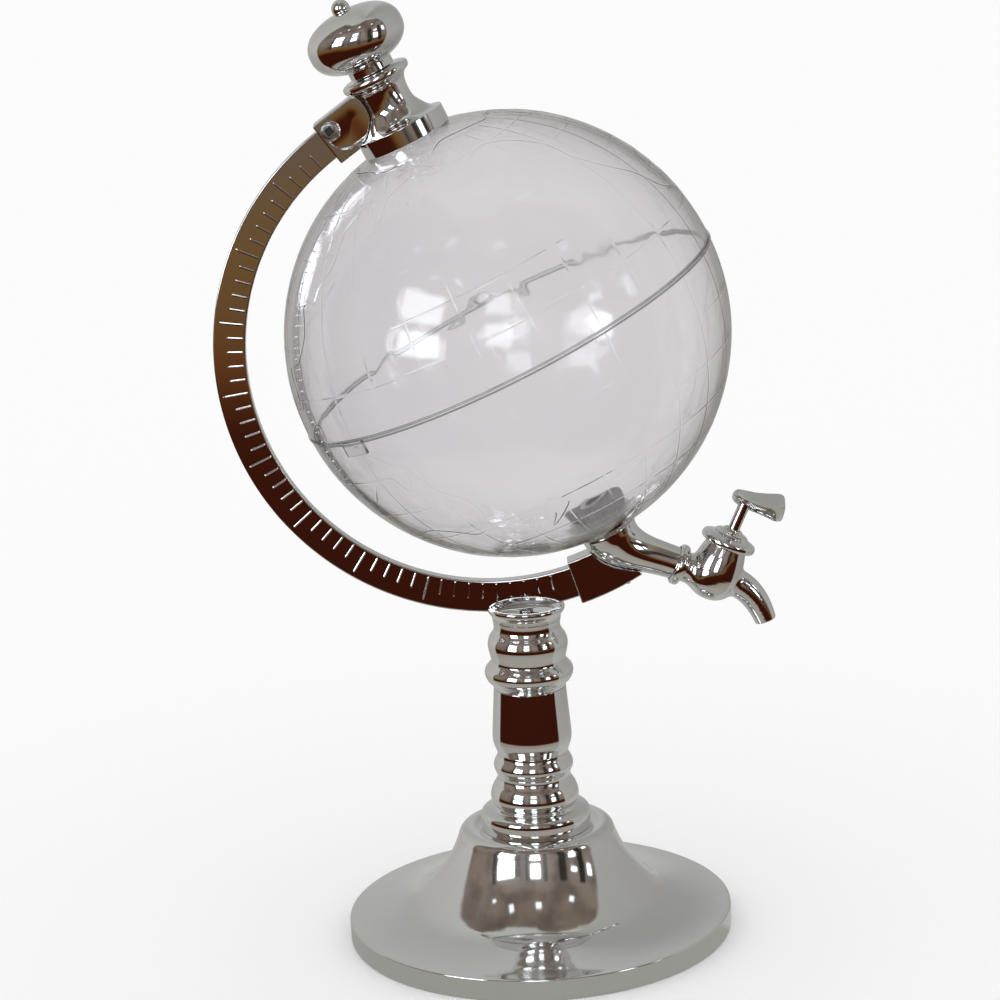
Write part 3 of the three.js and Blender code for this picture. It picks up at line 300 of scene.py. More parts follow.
# Land outlines on the globe, roughly drawn: degrees of longitude and latitude.
LAND_TURN = 90
LAND = [
    [(-168, 66), (-156, 71), (-130, 70), (-112, 68), (-95, 69), (-82, 67), (-94, 60), (-84, 55), (-79, 52),
     (-77, 60), (-66, 58), (-56, 52), (-66, 48), (-61, 46), (-71, 42), (-76, 35), (-81, 31), (-80, 26),
     (-84, 30), (-90, 29), (-97, 27), (-97, 21), (-91, 18), (-87, 21), (-87, 16), (-83, 10), (-78, 8),
     (-86, 12), (-94, 16), (-105, 20), (-111, 27), (-118, 33), (-124, 41), (-125, 48), (-132, 56),
     (-142, 60), (-152, 59), (-162, 56), (-163, 62)],
    [(-78, 7), (-72, 12), (-62, 10), (-52, 5), (-49, 0), (-42, -3), (-35, -7), (-39, -14), (-41, -22),
     (-48, -27), (-54, -34), (-62, -40), (-66, -46), (-69, -53), (-74, -50), (-73, -40), (-71, -30),
     (-71, -19), (-77, -13), (-81, -5), (-79, 1)],
    [(-9, 37), (-1, 38), (4, 43), (10, 44), (16, 39), (15, 45), (21, 39), (26, 40), (28, 37), (36, 36),
     (35, 30), (40, 20), (44, 13), (52, 16), (59, 22), (55, 26), (50, 29), (60, 25), (68, 24), (73, 19),
     (77, 9), (81, 15), (88, 21), (94, 17), (98, 10), (103, 2), (101, 12), (106, 9), (109, 13), (107, 20),
     (115, 22), (121, 29), (120, 37), (126, 36), (129, 40), (136, 45), (140, 54), (152, 59), (157, 52),
     (163, 59), (177, 64), (178, 69), (158, 70), (138, 73), (112, 74), (88, 75), (70, 71), (56, 68),
     (41, 67), (26, 71), (13, 66), (5, 61), (8, 57), (16, 57), (22, 64), (25, 60), (17, 54), (8, 54),
     (2, 51), (-4, 48), (-2, 44), (-9, 43)],
    [(-6, 35), (10, 37), (14, 32), (25, 32), (32, 31), (37, 21), (43, 12), (51, 11), (46, 3), (40, -5),
     (40, -15), (35, -21), (32, -28), (26, -34), (18, -34), (14, -25), (12, -16), (13, -7), (9, 0),
     (8, 4), (-2, 5), (-9, 5), (-16, 11), (-17, 17), (-13, 27)],
    [(114, -22), (122, -18), (129, -13), (136, -12), (139, -17), (143, -12), (147, -19), (153, -26),
     (151, -35), (145, -38), (137, -34), (129, -32), (120, -34), (115, -33)],
    [(-44, 60), (-54, 67), (-58, 75), (-45, 80), (-24, 79), (-21, 71), (-34, 66)],
    [(-58, -64), (-62, -72), (-40, -77), (-15, -71), (15, -69), (48, -67), (80, -67), (112, -66),
     (145, -68), (168, -72), (-175, -77), (-150, -76), (-122, -73), (-95, -72), (-72, -70)],
    [(131, -1), (139, -2), (148, -7), (149, -10), (141, -9), (135, -5)],
    [(109, 1), (114, 5), (118, 5), (117, -1), (114, -4), (110, -3)],
    [(44, -24), (45, -17), (49, -13), (49, -18), (47, -25)],
    [(173, -35), (178, -38), (173, -43), (168, -46), (172, -41)],
]

# Camera, by its place in metres and its angles in degrees
CAMERA_PLACE = (-0.009197, -1.395749, 0.567822)
CAMERA_PITCH = 14.685
CAMERA_ROLL = 2.859
CAMERA_LENS = 117.45
CAMERA_SENSOR = 36

# How finely curves are made
TURNED_SIDES = 144
SMALL_SIDES = 64
RIBBED_SIDES = 360
GLOBE_SIDES = 192
SPHERE_STEPS = 84
BORE_SIDES = 32
ARM_RINGS = 240
SLOT_RINGS = 160
MARK_RINGS = 25
MARK_POINTS = 9
RIDGE_POINTS = 10
PARALLEL_POINTS = 180
MERIDIAN_POINTS = 64
COAST_STEPS = 7
KNOB_POINTS = 97
BALL_POINTS = 33
ELBOW_ROWS = 72
SPOUT_ROWS = 48
HANDLE_STEPS = 8
SETTLING_STEPS = 6
MARGIN = 1
CURVE_STEPS = 6
SHARP_ANGLE = 32
TINY = 1e-6
FAR = 1e9
EDGE_SHARE = 0.45
ON_SPHERE = 0.02
EDGE_POINTS = 5


# Forms: points in millimetres, faces, and a normal for each point or none
Form = namedtuple("Form", "points faces normals", defaults=[None])


def unit(rows):
    """Each row as a direction of length 1. A row of zeros stays."""
    return rows / np.maximum(np.linalg.norm(rows, axis=1), TINY)[:, None]


def flowing(rows, steps=CURVE_STEPS):
    """A smooth line through rows of any width, with more rows between them."""
    rows = np.array(rows, float)
    ends = np.vstack([2 * rows[0] - rows[1], rows, 2 * rows[-1] - rows[-2]])
    knots = np.concatenate([[0], np.cumsum(np.linalg.norm(np.diff(ends, axis=0), axis=1) ** 0.5)])
    made = [rows[0]]
    for i in range(1, len(ends) - 2):
        for t in np.linspace(knots[i], knots[i + 1], steps + 1)[1:]:
            row = ends[i - 1:i + 3]
            for spans in (((-1, 0), (0, 1), (1, 2)), ((-1, 1), (0, 2)), ((0, 1),)):
                limits = [(knots[i + a], knots[i + b]) for a, b in spans]
                row = [((e - t) * p + (t - s) * q) / (e - s) for (s, e), p, q in zip(limits, row, row[1:])]
            made.append(row[0])
    return np.array(made)


def scaled(shares, radius, bottom, height):
    """An outline of radius and height pairs from its shares, made smooth."""
    return flowing([(radius * r, bottom + height * z) for r, z in shares])


def eased(outline, edge):
    """A closed outline with each sharp corner rounded off over a short distance."""
    outline = [np.array(p, float) for p in outline]
    made = []
    for i, here in enumerate(outline):
        back = outline[i - 1] - here
        ahead = outline[(i + 1) % len(outline)] - here
        back_length, ahead_length = np.linalg.norm(back), np.linalg.norm(ahead)
        turn = 0
        if here[0] >= REST_GAP and min(back_length, ahead_length) >= TINY:
            turn = math.acos(np.clip(-(back @ ahead) / back_length / ahead_length, -1, 1))
        if turn < math.radians(SHARP_ANGLE):
            made.append(here)
            continue
        start = here + back * min(edge / back_length, EDGE_SHARE)
        end = here + ahead * min(edge / ahead_length, EDGE_SHARE)
        for t in np.linspace(0, 1, EDGE_POINTS):
            made.append((1 - t) ** 2 * start + 2 * t * (1 - t) * here + t ** 2 * end)
    return made


def turned(outline, sides=TURNED_SIDES, wave=None):
    """A closed outline turned about the Z axis. A wave changes the radius as the angle goes round."""
    angles = np.linspace(0, 2 * math.pi, sides, endpoint=False)
    points, rings, faces = [], [], []
    for r, z in outline:
        first = len(points)
        if r < TINY:
            points.append((0, 0, z))
            rings.append([first])
            continue
        radii = wave(r, z, angles) if wave else np.full(sides, float(r))
        points += [(a * math.cos(t), a * math.sin(t), z) for a, t in zip(radii, angles)]
        rings.append(range(first, first + sides))
    if len(rings[0]) > 1:
        rings.append(rings[0])
    for low, high in zip(rings, rings[1:]):
        for i in range(sides):
            j = (i + 1) % sides
            corners = [low[i % len(low)], low[j % len(low)], high[j % len(high)], high[i % len(high)]]
            face = list(dict.fromkeys(corners))
            if len(face) > 2:
                faces.append(face)
    return Form(points, faces)


def lofted(rings, closed=False):
    """Rings of points joined side by side, with flat ends unless the row is closed."""
    sides = len(rings[0])
    points = [tuple(p) for ring in rings for p in ring]
    rows = len(rings) if closed else len(rings) - 1
    faces = []
    for row in range(rows):
        here, ahead = row * sides, (row + 1) % len(rings) * sides
        for i in range(sides):
            j = (i + 1) % sides
            faces.append([here + i, here + j, ahead + j, ahead + i])
    if not closed:
        faces.append(list(range(sides))[::-1])
        faces.append(list(range(len(points) - sides, len(points))))
    return Form(points, faces)


def gathered(forms):
    """Several forms as one, unjoined."""
    points, faces = [], []
    for form in forms:
        first = len(points)
        points += list(form.points)
        faces += [[first + i for i in face] for face in form.faces]
    return Form(points, faces)


def moved(form, matrix):
    """The form in another frame."""
    matrix = np.array(matrix, float)
    points = np.array(form.points, float) @ matrix[:3, :3].T + matrix[:3, 3]
    return Form([tuple(p) for p in points], form.faces, form.normals)


def placed(name, data):
    made = bpy.data.objects.new(name, data)
    bpy.context.scene.collection.objects.link(made)
    return made


def temporary(form):
    mesh = bpy.data.meshes.new("temporary")
    mesh.from_pydata(form.points, [], form.faces)
    with_normals_out(mesh)
    return placed("temporary", mesh)


def with_normals_out(mesh):
    work = bmesh.new()
    work.from_mesh(mesh)
    bmesh.ops.recalc_face_normals(work, faces=work.faces)
    work.to_mesh(mesh)
    work.free()


def worked(operation, form, *tools):
    """The form after a join, cut or overlap with each tool in turn."""
    made = [temporary(f) for f in (form, *tools)]
    for tool in made[1:]:
        step = made[0].modifiers.new("step", "BOOLEAN")
        step.operation = operation
        step.solver = "MANIFOLD"
        step.object = tool
    shown = made[0].evaluated_get(bpy.context.evaluated_depsgraph_get())
    mesh = shown.to_mesh()
    result = Form([tuple(v.co) for v in mesh.vertices], [list(p.vertices) for p in mesh.polygons])
    shown.to_mesh_clear()
    for each in made:
        mesh = each.data
        bpy.data.objects.remove(each)
        bpy.data.meshes.remove(mesh)
    return result


def joined(form, *tools):
    return worked("UNION", form, *tools)


def cut(form, *tools):
    return worked("DIFFERENCE", form, *tools)


# Distances: how far points lie outside a shape, negative inside it

def to_outline(radii, heights, outline):
    """The distance to a closed outline of radius and height pairs."""
    nearest = np.full(len(radii), FAR)
    inside = np.zeros(len(radii), bool)
    outline = [np.array(p, float) for p in outline]
    for a, b in zip(outline, outline[1:] + outline[:1]):
        along = b - a
        if a[0] < TINY and b[0] < TINY or along @ along < TINY ** 2:
            continue
        x, y = radii - a[0], heights - a[1]
        share = np.clip((x * along[0] + y * along[1]) / (along @ along), 0, 1)
        nearest = np.minimum(nearest, np.hypot(x - share * along[0], y - share * along[1]))
        if abs(along[1]) > TINY ** 2:
            crossed = (a[1] > heights) != (b[1] > heights)
            inside ^= crossed & (radii < a[0] + along[0] * y / along[1])
    return np.where(inside, -nearest, nearest)


def to_tube(points, line, radii):
    """The distance to a tube along a line of points, with a radius at each."""
    nearest = np.full(len(points), FAR)
    for a, b, r, s in zip(line, line[1:], radii, radii[1:]):
        along = b - a
        share = np.clip((points - a) @ along / (along @ along), 0, 1)
        gap = np.linalg.norm(points - a - share[:, None] * along, axis=1) - r - share * (s - r)
        nearest = np.minimum(nearest, gap)
    return nearest


def to_box(offsets, halves, edge):
    """The distance to a box with rounded edges, from offsets along its axes."""
    over = np.stack([np.abs(o) - h + edge for o, h in zip(offsets, halves)])
    return np.linalg.norm(np.maximum(over, 0), axis=0) + np.minimum(over.max(axis=0), 0) - edge


def melded(a, b, fillet):
    """The distance to two shapes joined with a fillet."""
    share = np.clip(0.5 + 0.5 * (b - a) / fillet, 0, 1)
    return b + (a - b) * share - fillet * share * (1 - share)


def without(a, b, fillet):
    """The distance to one shape less another, with a rounded edge."""
    return -melded(-a, b, fillet)


def surfaced(distance, low, high, cell):
    """The closed form where a distance is zero, with one point in each cell that it passes through."""
    axes = [np.arange(a, b + cell, cell) for a, b in zip(low, high)]
    grid = np.stack(np.meshgrid(*axes, indexing="ij"), axis=-1)
    shape = grid.shape[:3]
    inside = distance(grid.reshape(-1, 3)).reshape(shape) < 0
    cells = tuple(n - 1 for n in shape)
    count = np.zeros(cells, int)
    for dx, dy, dz in np.ndindex(2, 2, 2):
        count += inside[dx:cells[0] + dx, dy:cells[1] + dy, dz:cells[2] + dz]
    active = (count > 0) & (count < 8)
    index = np.full(cells, -1)
    index[active] = np.arange(active.sum())
    middles = grid[:-1, :-1, :-1][active] + cell / 2
    points = middles.copy()
    for _ in range(SETTLING_STEPS):
        slope = slopes(distance, points)
        steepness = (slope ** 2).sum(axis=1).clip(0.25)
        points -= (distance(points) / steepness)[:, None] * slope
        points = np.clip(points, middles - 0.6 * cell, middles + 0.6 * cell)
    # Where the distance is flat the normal is zero, and Blender then works it out from the faces.
    normals = unit(slopes(distance, points))
    faces = []
    for axis in range(3):
        u, v = (axis + 1) % 3, (axis + 2) % 3
        near = np.take(inside, range(shape[axis] - 1), axis)
        far = np.take(inside, range(1, shape[axis]), axis)
        for place in np.argwhere(near != far):
            step_u, step_v = np.eye(3, dtype=int)[u], np.eye(3, dtype=int)[v]
            ring = [place - step_u - step_v, place - step_v, place, place - step_u]
            corners = [int(index[tuple(p)]) for p in ring]
            faces.append(corners if near[tuple(place)] else corners[::-1])
    return Form([tuple(p) for p in points], faces, normals)


def slopes(distance, points, reach=0.01):
    """How a distance rises along each axis."""
    steps = np.eye(3) * reach
    return np.stack([distance(points + s) - distance(points - s) for s in steps], axis=1) / (2 * reach)


# Frames of the stand, the head and the tap

def leaning(origin, up):
    """The frame whose Z runs up, with Y straight back, from millimetres to metres."""
    up = Vector(up).normalized()
    back = Vector((0, 1, 0))
    turn = Matrix((back.cross(up), back, up)).transposed().to_4x4()
    return Matrix.Translation(origin) @ turn @ Matrix.Scale(MM, 4)


joints = {joint["name"]: joint for joint in frame["joints"]}
pole = Vector(joints["stopper_lift"]["axis"]).normalized()
towards_tap = Vector((0, 1, 0)).cross(pole)
tap_place = Vector(joints["tap_turn"]["pos_m"])
globe_place = tap_place - towards_tap * TAP_REACH * MM + pole * (GLOBE_RADIUS + TAP_DROP) * MM
STAND = leaning((0, 0, 0), (0, 0, 1))
HEAD = leaning(globe_place, pole)
TAP = leaning(tap_place, joints["tap_turn"]["axis"])
tap_in_head = HEAD.inverted() @ TAP

node_body = {node: body for body, nodes in frame["record"]["behaviour"]["bodies"].items() for node in nodes}
node_slot = {row["node"]: row["material_slot"] for row in frame["record"]["subparts"]}


# Materials

class Graph:
    """A node tree in the making. A number or a colour given as an input is set, and a socket is linked."""

    def __init__(self, tree):
        self.tree = tree
        tree.nodes.clear()

    def node(self, kind, inputs=None, **settings):
        made = self.tree.nodes.new(kind)
        for name, value in settings.items():
            setattr(made, name, value)
        for name, value in (inputs or {}).items():
            if isinstance(value, bpy.types.NodeSocket):
                self.tree.links.new(value, made.inputs[name])
            else:
                made.inputs[name].default_value = value
        return made

    def math(self, operation, *values, clamped=False):
        inputs = dict(enumerate(values))
        return self.node("ShaderNodeMath", inputs, operation=operation, use_clamp=clamped).outputs[0]

    def vector(self, operation, a, b=(0, 0, 0), scale=1.0):
        outputs = self.node("ShaderNodeVectorMath", {0: a, 1: b, 3: scale}, operation=operation).outputs
        return outputs[1 if operation in ("DISTANCE", "LENGTH") else 0]

    def path(self, name):
        return self.node("ShaderNodeLightPath").outputs[name]

    def noise(self, scale, detail=2, roughness=0.5, stretch=None, place=None):
        if place is None:
            place = self.node("ShaderNodeTexCoord").outputs["Object"]
        if stretch:
            place = self.node("ShaderNodeMapping", {"Vector": place, "Scale": stretch}).outputs[0]
        inputs = {"Vector": place, "Scale": scale, "Detail": detail, "Roughness": roughness}
        return self.node("ShaderNodeTexNoise", inputs).outputs[0]

    def ramp(self, factor, stops):
        made = self.node("ShaderNodeValToRGB", {"Fac": factor})
        rows = made.color_ramp.elements
        while len(rows) < len(stops):
            rows.new(0.5)
        for row, (place, color) in zip(rows, stops):
            row.position = place
            row.color = (*color, 1)
        return made.outputs[0]

    def mottled(self, factor, dark, light, end=0.7):
        return self.ramp(factor, [(0.3, dark), (end, light)])

    def scaled_to(self, value, low, high):
        inputs = {"Value": value, "To Min": low, "To Max": high}
        return self.node("ShaderNodeMapRange", inputs).outputs[0]

    def stretched(self, value, low, high):
        """The share of the way from a low value to a high one, eased at both ends."""
        inputs = {"Value": value, "From Min": low, "From Max": high}
        return self.node("ShaderNodeMapRange", inputs, interpolation_type="SMOOTHSTEP").outputs[0]

    def mixed(self, factor, a, b):
        inputs = {"Factor": factor, 6: a, 7: b}
        return self.node("ShaderNodeMix", inputs, data_type="RGBA").outputs[2]

    def bump(self, height, strength, distance):
        inputs = {"Height": height, "Strength": strength, "Distance": distance}
        return self.node("ShaderNodeBump", inputs).outputs[0]

    def shader(self, **inputs):
        named = {name.replace("_", " "): value for name, value in inputs.items()}
        return self.node("ShaderNodeBsdfPrincipled", named)

    def either(self, factor, a, b):
        return self.node("ShaderNodeMixShader", {0: factor, 1: a.outputs[0], 2: b.outputs[0]})

    def output(self, shader):
        self.node("ShaderNodeOutputMaterial", {"Surface": shader.outputs[0]})

    def solid(self, **inputs):
        self.output(self.shader(**inputs))

    def clear(self, tint, **inputs):
        """A clear finish. Light from lamps goes straight through it."""
        through = self.node("ShaderNodeBsdfTransparent", {"Color": (*tint, 1)})
        self.output(self.either(self.path("Is Shadow Ray"), self.shader(**inputs), through))


def grey(value):
    return (value, value, value)


def chrome(graph):
    """Bright plating, with a faint haze and a few rubbed places."""
    color = graph.mottled(graph.noise(38, 4, 0.6), (0.80, 0.805, 0.80), (0.84, 0.84, 0.835), 0.75)
    rough = graph.scaled_to(graph.noise(90, 3), 0.05, 0.09)
    waves = graph.bump(graph.noise(110, 1), 0.15, 0.0001)
    graph.solid(Base_Color=color, Metallic=1.0, Roughness=rough, Normal=waves)


def clear_plastic(graph):
    """Clear moulded plastic. The inner face has soft ripples that fade out towards the globe's rim. Its tint holds
    painted shade, darker towards the globe's left side.
    """
    place = graph.node("ShaderNodeTexCoord").outputs["Object"]
    out = graph.vector("DISTANCE", place, globe_place)
    inside = graph.math("LESS_THAN", out, (GLOBE_RADIUS - GLOBE_WALL / 2) * MM)
    from_middle = graph.vector("SUBTRACT", place, globe_place)
    from_middle = graph.vector("LENGTH", graph.vector("MULTIPLY", from_middle, (1, 0, 1)))
    patches = graph.stretched(graph.noise(17, 3, 0.6), 0.44, 0.6)
    patches = graph.math("MULTIPLY", patches, graph.stretched(from_middle, GLOBE_RADIUS * MM, RIPPLE_REACH))
    ripples = graph.math("MULTIPLY", graph.noise(62), patches)
    height = graph.math("ADD", graph.math("MULTIPLY", ripples, inside),
                        graph.math("MULTIPLY", graph.noise(26, 3), 0.2))
    rough = graph.math("MULTIPLY_ADD", inside, graph.math("MULTIPLY_ADD", patches, 0.08, 0.04), 0.012)
    # Painted shade: the tint darkens from the globe's middle towards its left edge.
    across = graph.node("ShaderNodeSeparateXYZ", {0: place}).outputs[0]
    color = graph.ramp(graph.stretched(across, -GLOBE_RADIUS * MM, 0.0),
                       [(0, (0.895, 0.88, 0.895)), (1, (0.94, 0.93, 0.94))])
    graph.clear((0.9, 0.89, 0.91), Base_Color=color, Roughness=rough, IOR=1.49,
                Transmission_Weight=1.0, Normal=graph.bump(height, 1.0, 0.0006))


def clear_seal(graph):
    """Softer clear plastic, a little cloudy."""
    rough = graph.scaled_to(graph.noise(80, 3), 0.04, 0.1)
    color = graph.mottled(graph.noise(120), (0.93, 0.92, 0.93), (0.97, 0.96, 0.97))
    graph.clear((0.8, 0.79, 0.81), Base_Color=color, Roughness=rough, IOR=1.45, Transmission_Weight=0.95)


def grey_plastic(graph):
    color = graph.mottled(graph.noise(70, 4), (0.36, 0.355, 0.37), (0.50, 0.495, 0.52))
    grain = graph.bump(graph.noise(1400), 0.25, 0.0001)
    graph.solid(Base_Color=color, Roughness=0.4, Transmission_Weight=0.45, Normal=grain)


def dark_rubber(graph):
    color = graph.mottled(graph.noise(50, 4), grey(0.018), (0.035, 0.034, 0.035), 0.75)
    grain = graph.bump(graph.noise(1800, 3), 0.5, 0.0002)
    graph.solid(Base_Color=color, Roughness=graph.scaled_to(graph.noise(30), 0.65, 0.85), Normal=grain)


def cast_iron(graph):
    color = graph.mottled(graph.noise(60, 5), (0.05, 0.05, 0.055), (0.09, 0.088, 0.09))
    grain = graph.bump(graph.noise(420, 5, 0.7), 0.7, 0.0006)
    graph.solid(Base_Color=color, Metallic=0.6, Roughness=0.7, Normal=grain)


def zinc_steel(graph):
    streaks = graph.noise(300, 3, stretch=(1, 1, 6))
    color = graph.mottled(streaks, (0.42, 0.42, 0.41), (0.56, 0.56, 0.54))
    graph.solid(Base_Color=color, Metallic=1.0, Roughness=graph.scaled_to(streaks, 0.2, 0.38),
                Normal=graph.bump(streaks, 0.15, 0.0001))


def socket_shade(graph):
    """Painted shade for the inside of a screw's socket, dark as a recess that little light enters."""
    color = graph.mottled(graph.noise(900, 3), (0.04, 0.03, 0.025), (0.08, 0.065, 0.055))
    graph.solid(Base_Color=color, Metallic=0.3, Roughness=0.6)


def white_plastic(graph):
    color = graph.mottled(graph.noise(40, 3), (0.68, 0.68, 0.65), (0.74, 0.74, 0.71))
    grain = graph.bump(graph.noise(900), 0.15, 0.0001)
    graph.solid(Base_Color=color, Roughness=0.4, Subsurface_Weight=0.1, Normal=grain)


FINISHES = [
    chrome, clear_plastic, clear_seal, grey_plastic, dark_rubber, cast_iron, zinc_steel, white_plastic,
]


def made_material(finish):
    material = bpy.data.materials.new(finish.__name__)
    material.use_nodes = True
    finish(Graph(material.node_tree))
    return material


materials = {finish.__name__: made_material(finish) for finish in FINISHES}
for node, cad_object in frame["nodes"].items():
    cad_object.data.materials.clear()
    cad_object.data.materials.append(materials[node_slot[node]])


def piece(node, form, place, round_radii=()):
    """Shows a form in place of a CAD node. Faces on a sphere of one of the radii are shaded as a sphere."""
    points = np.array(form.points, float)
    mesh = bpy.data.meshes.new(node + "_form")
    mesh.from_pydata([tuple(p) for p in points], [], form.faces)
    if form.normals is None:
        with_normals_out(mesh)
    mesh.polygons.foreach_set("use_smooth", [True] * len(mesh.polygons))
    mesh.set_sharp_from_angle(angle=math.radians(SHARP_ANGLE))
    if form.normals is not None:
        mesh.normals_split_custom_set_from_vertices([tuple(n) for n in form.normals])
    if round_radii:
        shade_round(mesh, round_radii)
    mesh.materials.append(materials[node_slot[node]])
    made = placed(node + "_form", mesh)
    mesh.transform(place)
    if form.normals is None and not round_radii:
        weighted = made.modifiers.new("weighted", "WEIGHTED_NORMAL")
        weighted.weight = 100
        weighted.keep_sharp = True
    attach(made, node_body[node])
    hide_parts(node)
    return made


def shade_round(mesh, radii):
    """Gives the faces on a sphere about the origin the sphere's own normals."""
    places = np.array([v.co for v in mesh.vertices])
    lengths = np.linalg.norm(places, axis=1)
    near = [np.abs(lengths - radius) < ON_SPHERE for radius in radii]
    normals = np.array([c.vector for c in mesh.corner_normals])
    for face in mesh.polygons:
        corners = list(face.vertices)
        for on_sphere in near:
            if on_sphere[corners].all():
                out = places[corners] / lengths[corners][:, None]
                way = 1 if Vector(out[0]).dot(face.normal) > 0 else -1
                normals[face.loop_start:face.loop_start + face.loop_total] = way * out
    mesh.normals_split_custom_set([tuple(n) for n in normals])


# The stand

def offset_outline(outline, distance):
    """The outline moved to its left side by a distance."""
    way = unit(np.gradient(outline, axis=0))
    return outline + distance * np.stack([-way[:, 1], way[:, 0]], axis=1)


def base_shell():
    reach = BASE_RADIUS - COLLAR_RADIUS
    rise = SHELL_TOP - RIM_HEIGHT
    bell = flowing([(COLLAR_RADIUS + r * reach, RIM_HEIGHT + z * rise) for r, z in BELL_SHARES])
    inner = offset_outline(bell, -SHELL_WALL)[::-3]
    return turned(eased([
        (ROD_BORE, SHELL_TOP),
        *bell,
        (BASE_RADIUS, RIM_HEIGHT),
        (BASE_RADIUS, RIM_LIFT),
        (BASE_RADIUS - SHELL_WALL, RIM_LIFT),
        *[p for p in inner if p[0] < BASE_RADIUS - SHELL_WALL and p[1] < SHELL_TOP - SHELL_WALL],
        (ROD_BORE, SHELL_TOP - SHELL_WALL),
    ], RIM_EDGE), GLOBE_SIDES)


def ring_stack(bottom, side, top, bore=ROD_BORE, edge=RING_EDGE, **options):
    """A turned piece with a bore, flat ends and a shaped side."""
    return turned(eased([(bore, bottom), *side, (bore, top)], edge), **options)


def plain_ring(bore, radius, bottom, top, edge=RING_EDGE, **options):
    """A turned piece with a plain side, with a bore or none."""
    return ring_stack(bottom, [(radius, bottom), (radius, top)], top, bore, edge, **options)


pad_radius = BASE_RADIUS - SHELL_WALL - COVER_GAP
cover_bottom = PAD_THICKNESS + REST_GAP
cover_top = cover_bottom + COVER_THICKNESS
collar_bottom = SHELL_TOP + REST_GAP
lower_bottom = collar_bottom + COLLAR_HEIGHT + REST_GAP
middle_bottom = lower_bottom + COLUMN_LOWER_HEIGHT + REST_GAP
upper_bottom = middle_bottom + COLUMN_MIDDLE_HEIGHT + REST_GAP
cup_bottom = upper_bottom + COLUMN_UPPER_HEIGHT + REST_GAP
cup_top = cup_bottom + CUP_HEIGHT
arm_seat = cup_top - ARM_SEAT_DROP

arm_inner = GLOBE_RADIUS + ARM_CLEARANCE
arm_middle = arm_inner + ARM_WIDTH / 2


def arm_angle(across):
    """The angle at which the arm's middle line is a distance across the polar axis, towards the tap."""
    return math.degrees(math.acos((across + ARM_SHIFT) / arm_middle))


def arm_point(radius, angle):
    turn = math.radians(angle)
    return np.array((radius * math.cos(turn) - ARM_SHIFT, 0, radius * math.sin(turn) - ARM_DROP))


upper_block_angle = arm_angle(-UPPER_BLOCK_OFFSET)
lower_block_start = arm_angle(-LOWER_BLOCK_OFFSET)
lower_block_end = arm_angle(LOWER_BLOCK_REACH)
insertion_angle = math.degrees(ARM_INSERTION / arm_middle)
arm_from = upper_block_angle - insertion_angle
arm_to = 360 - lower_block_start + insertion_angle


def arm_band(grown, edge, steps=ARM_RINGS):
    """The arm's band, or with some growth the space that it needs."""
    half_width, half_depth = ARM_WIDTH / 2 + grown, ARM_THICKNESS / 2 + grown
    # The section stands clear of the Z axis while its corners are eased.
    clear = np.array((2 * half_width, 2 * half_depth))
    section = [clear + (x * half_width, y * half_depth) for x, y in ((-1, -1), (1, -1), (1, 1), (-1, 1))]
    if edge:
        section = eased(section, edge)
    extra = math.degrees(grown / arm_middle)
    return lofted([[arm_point(arm_middle + x - clear[0], angle) + (0, y - clear[1], 0) for x, y in section]
                   for angle in np.linspace(arm_from - extra, arm_to + extra, steps)])


def bell_height(across):
    """The height of a low rounded ridge, from 1 at its middle to 0 at its sides."""
    return 0.5 + 0.5 * math.cos(math.pi * across)


def arm_mark(angle, length):
    """A raised degree mark on the arm's front, with round ends, lower where hands have worn it."""
    height = MARK_HEIGHT * np.interp((angle - arm_from) / (arm_to - arm_from), *zip(*MARK_WEAR_SHARES))
    rings = []
    start = arm_inner + MARK_INSET
    for share in np.linspace(0, 1, MARK_RINGS):
        along = start + length * share
        end = min(share, 1 - share) * length / (MARK_WIDTH / 2)
        size = math.sqrt(max(1 - max(1 - end, 0) ** 2, 0.01))
        middle = arm_point(along, angle)
        side = arm_point(along, angle + 90) - arm_point(0, angle + 90)
        side = side / np.linalg.norm(side)
        ring = [middle + side * across * MARK_WIDTH / 2 * size
                + np.array((0, RIDGE_FOOT - ARM_THICKNESS / 2 - height * size * bell_height(across), 0))
                for across in np.linspace(1, -1, MARK_POINTS)]
        ring += [middle + side * way * MARK_WIDTH / 2 * size
                 + np.array((0, RIDGE_SINK - ARM_THICKNESS / 2, 0)) for way in (-1, 1)]
        rings.append(ring)
    return lofted(rings)


def arm_marks():
    first = math.ceil((arm_from - MARK_START + insertion_angle) / MARK_PITCH)
    last = math.floor((arm_to - MARK_START - insertion_angle) / MARK_PITCH)
    return gathered([
        arm_mark(MARK_START + k * MARK_PITCH, MARK_LENGTH if k % LONG_MARK_EVERY else LONG_MARK_LENGTH)
        for k in range(first + 1, last)
    ])


def arm_cup():
    outer = scaled(CUP_OUTER_SHARES, CUP_RADIUS, cup_bottom, CUP_HEIGHT)
    dish = flowing([(CUP_RADIUS * r, cup_top - depth * CUP_DISH_DEPTH) for r, depth in CUP_DISH_SHARES])
    cup = turned(eased([
        (ARM_SCREW_BORE, cup_bottom),
        *outer,
        *dish,
        (CUP_SEAT_RADIUS, arm_seat),
        (ARM_SCREW_BORE, arm_seat),
    ], PLAIN_EDGE))
    band = moved(arm_band(GAP, 0, SLOT_RINGS), STAND.inverted() @ HEAD)
    return cut(cup, band)


def column_part(name, shares, radius, bottom, height, foot=()):
    """A turned part of the column round the tie rod."""
    side = [*foot, *scaled(shares, radius, bottom, height)]
    piece(name, ring_stack(bottom, side, bottom + height), STAND)


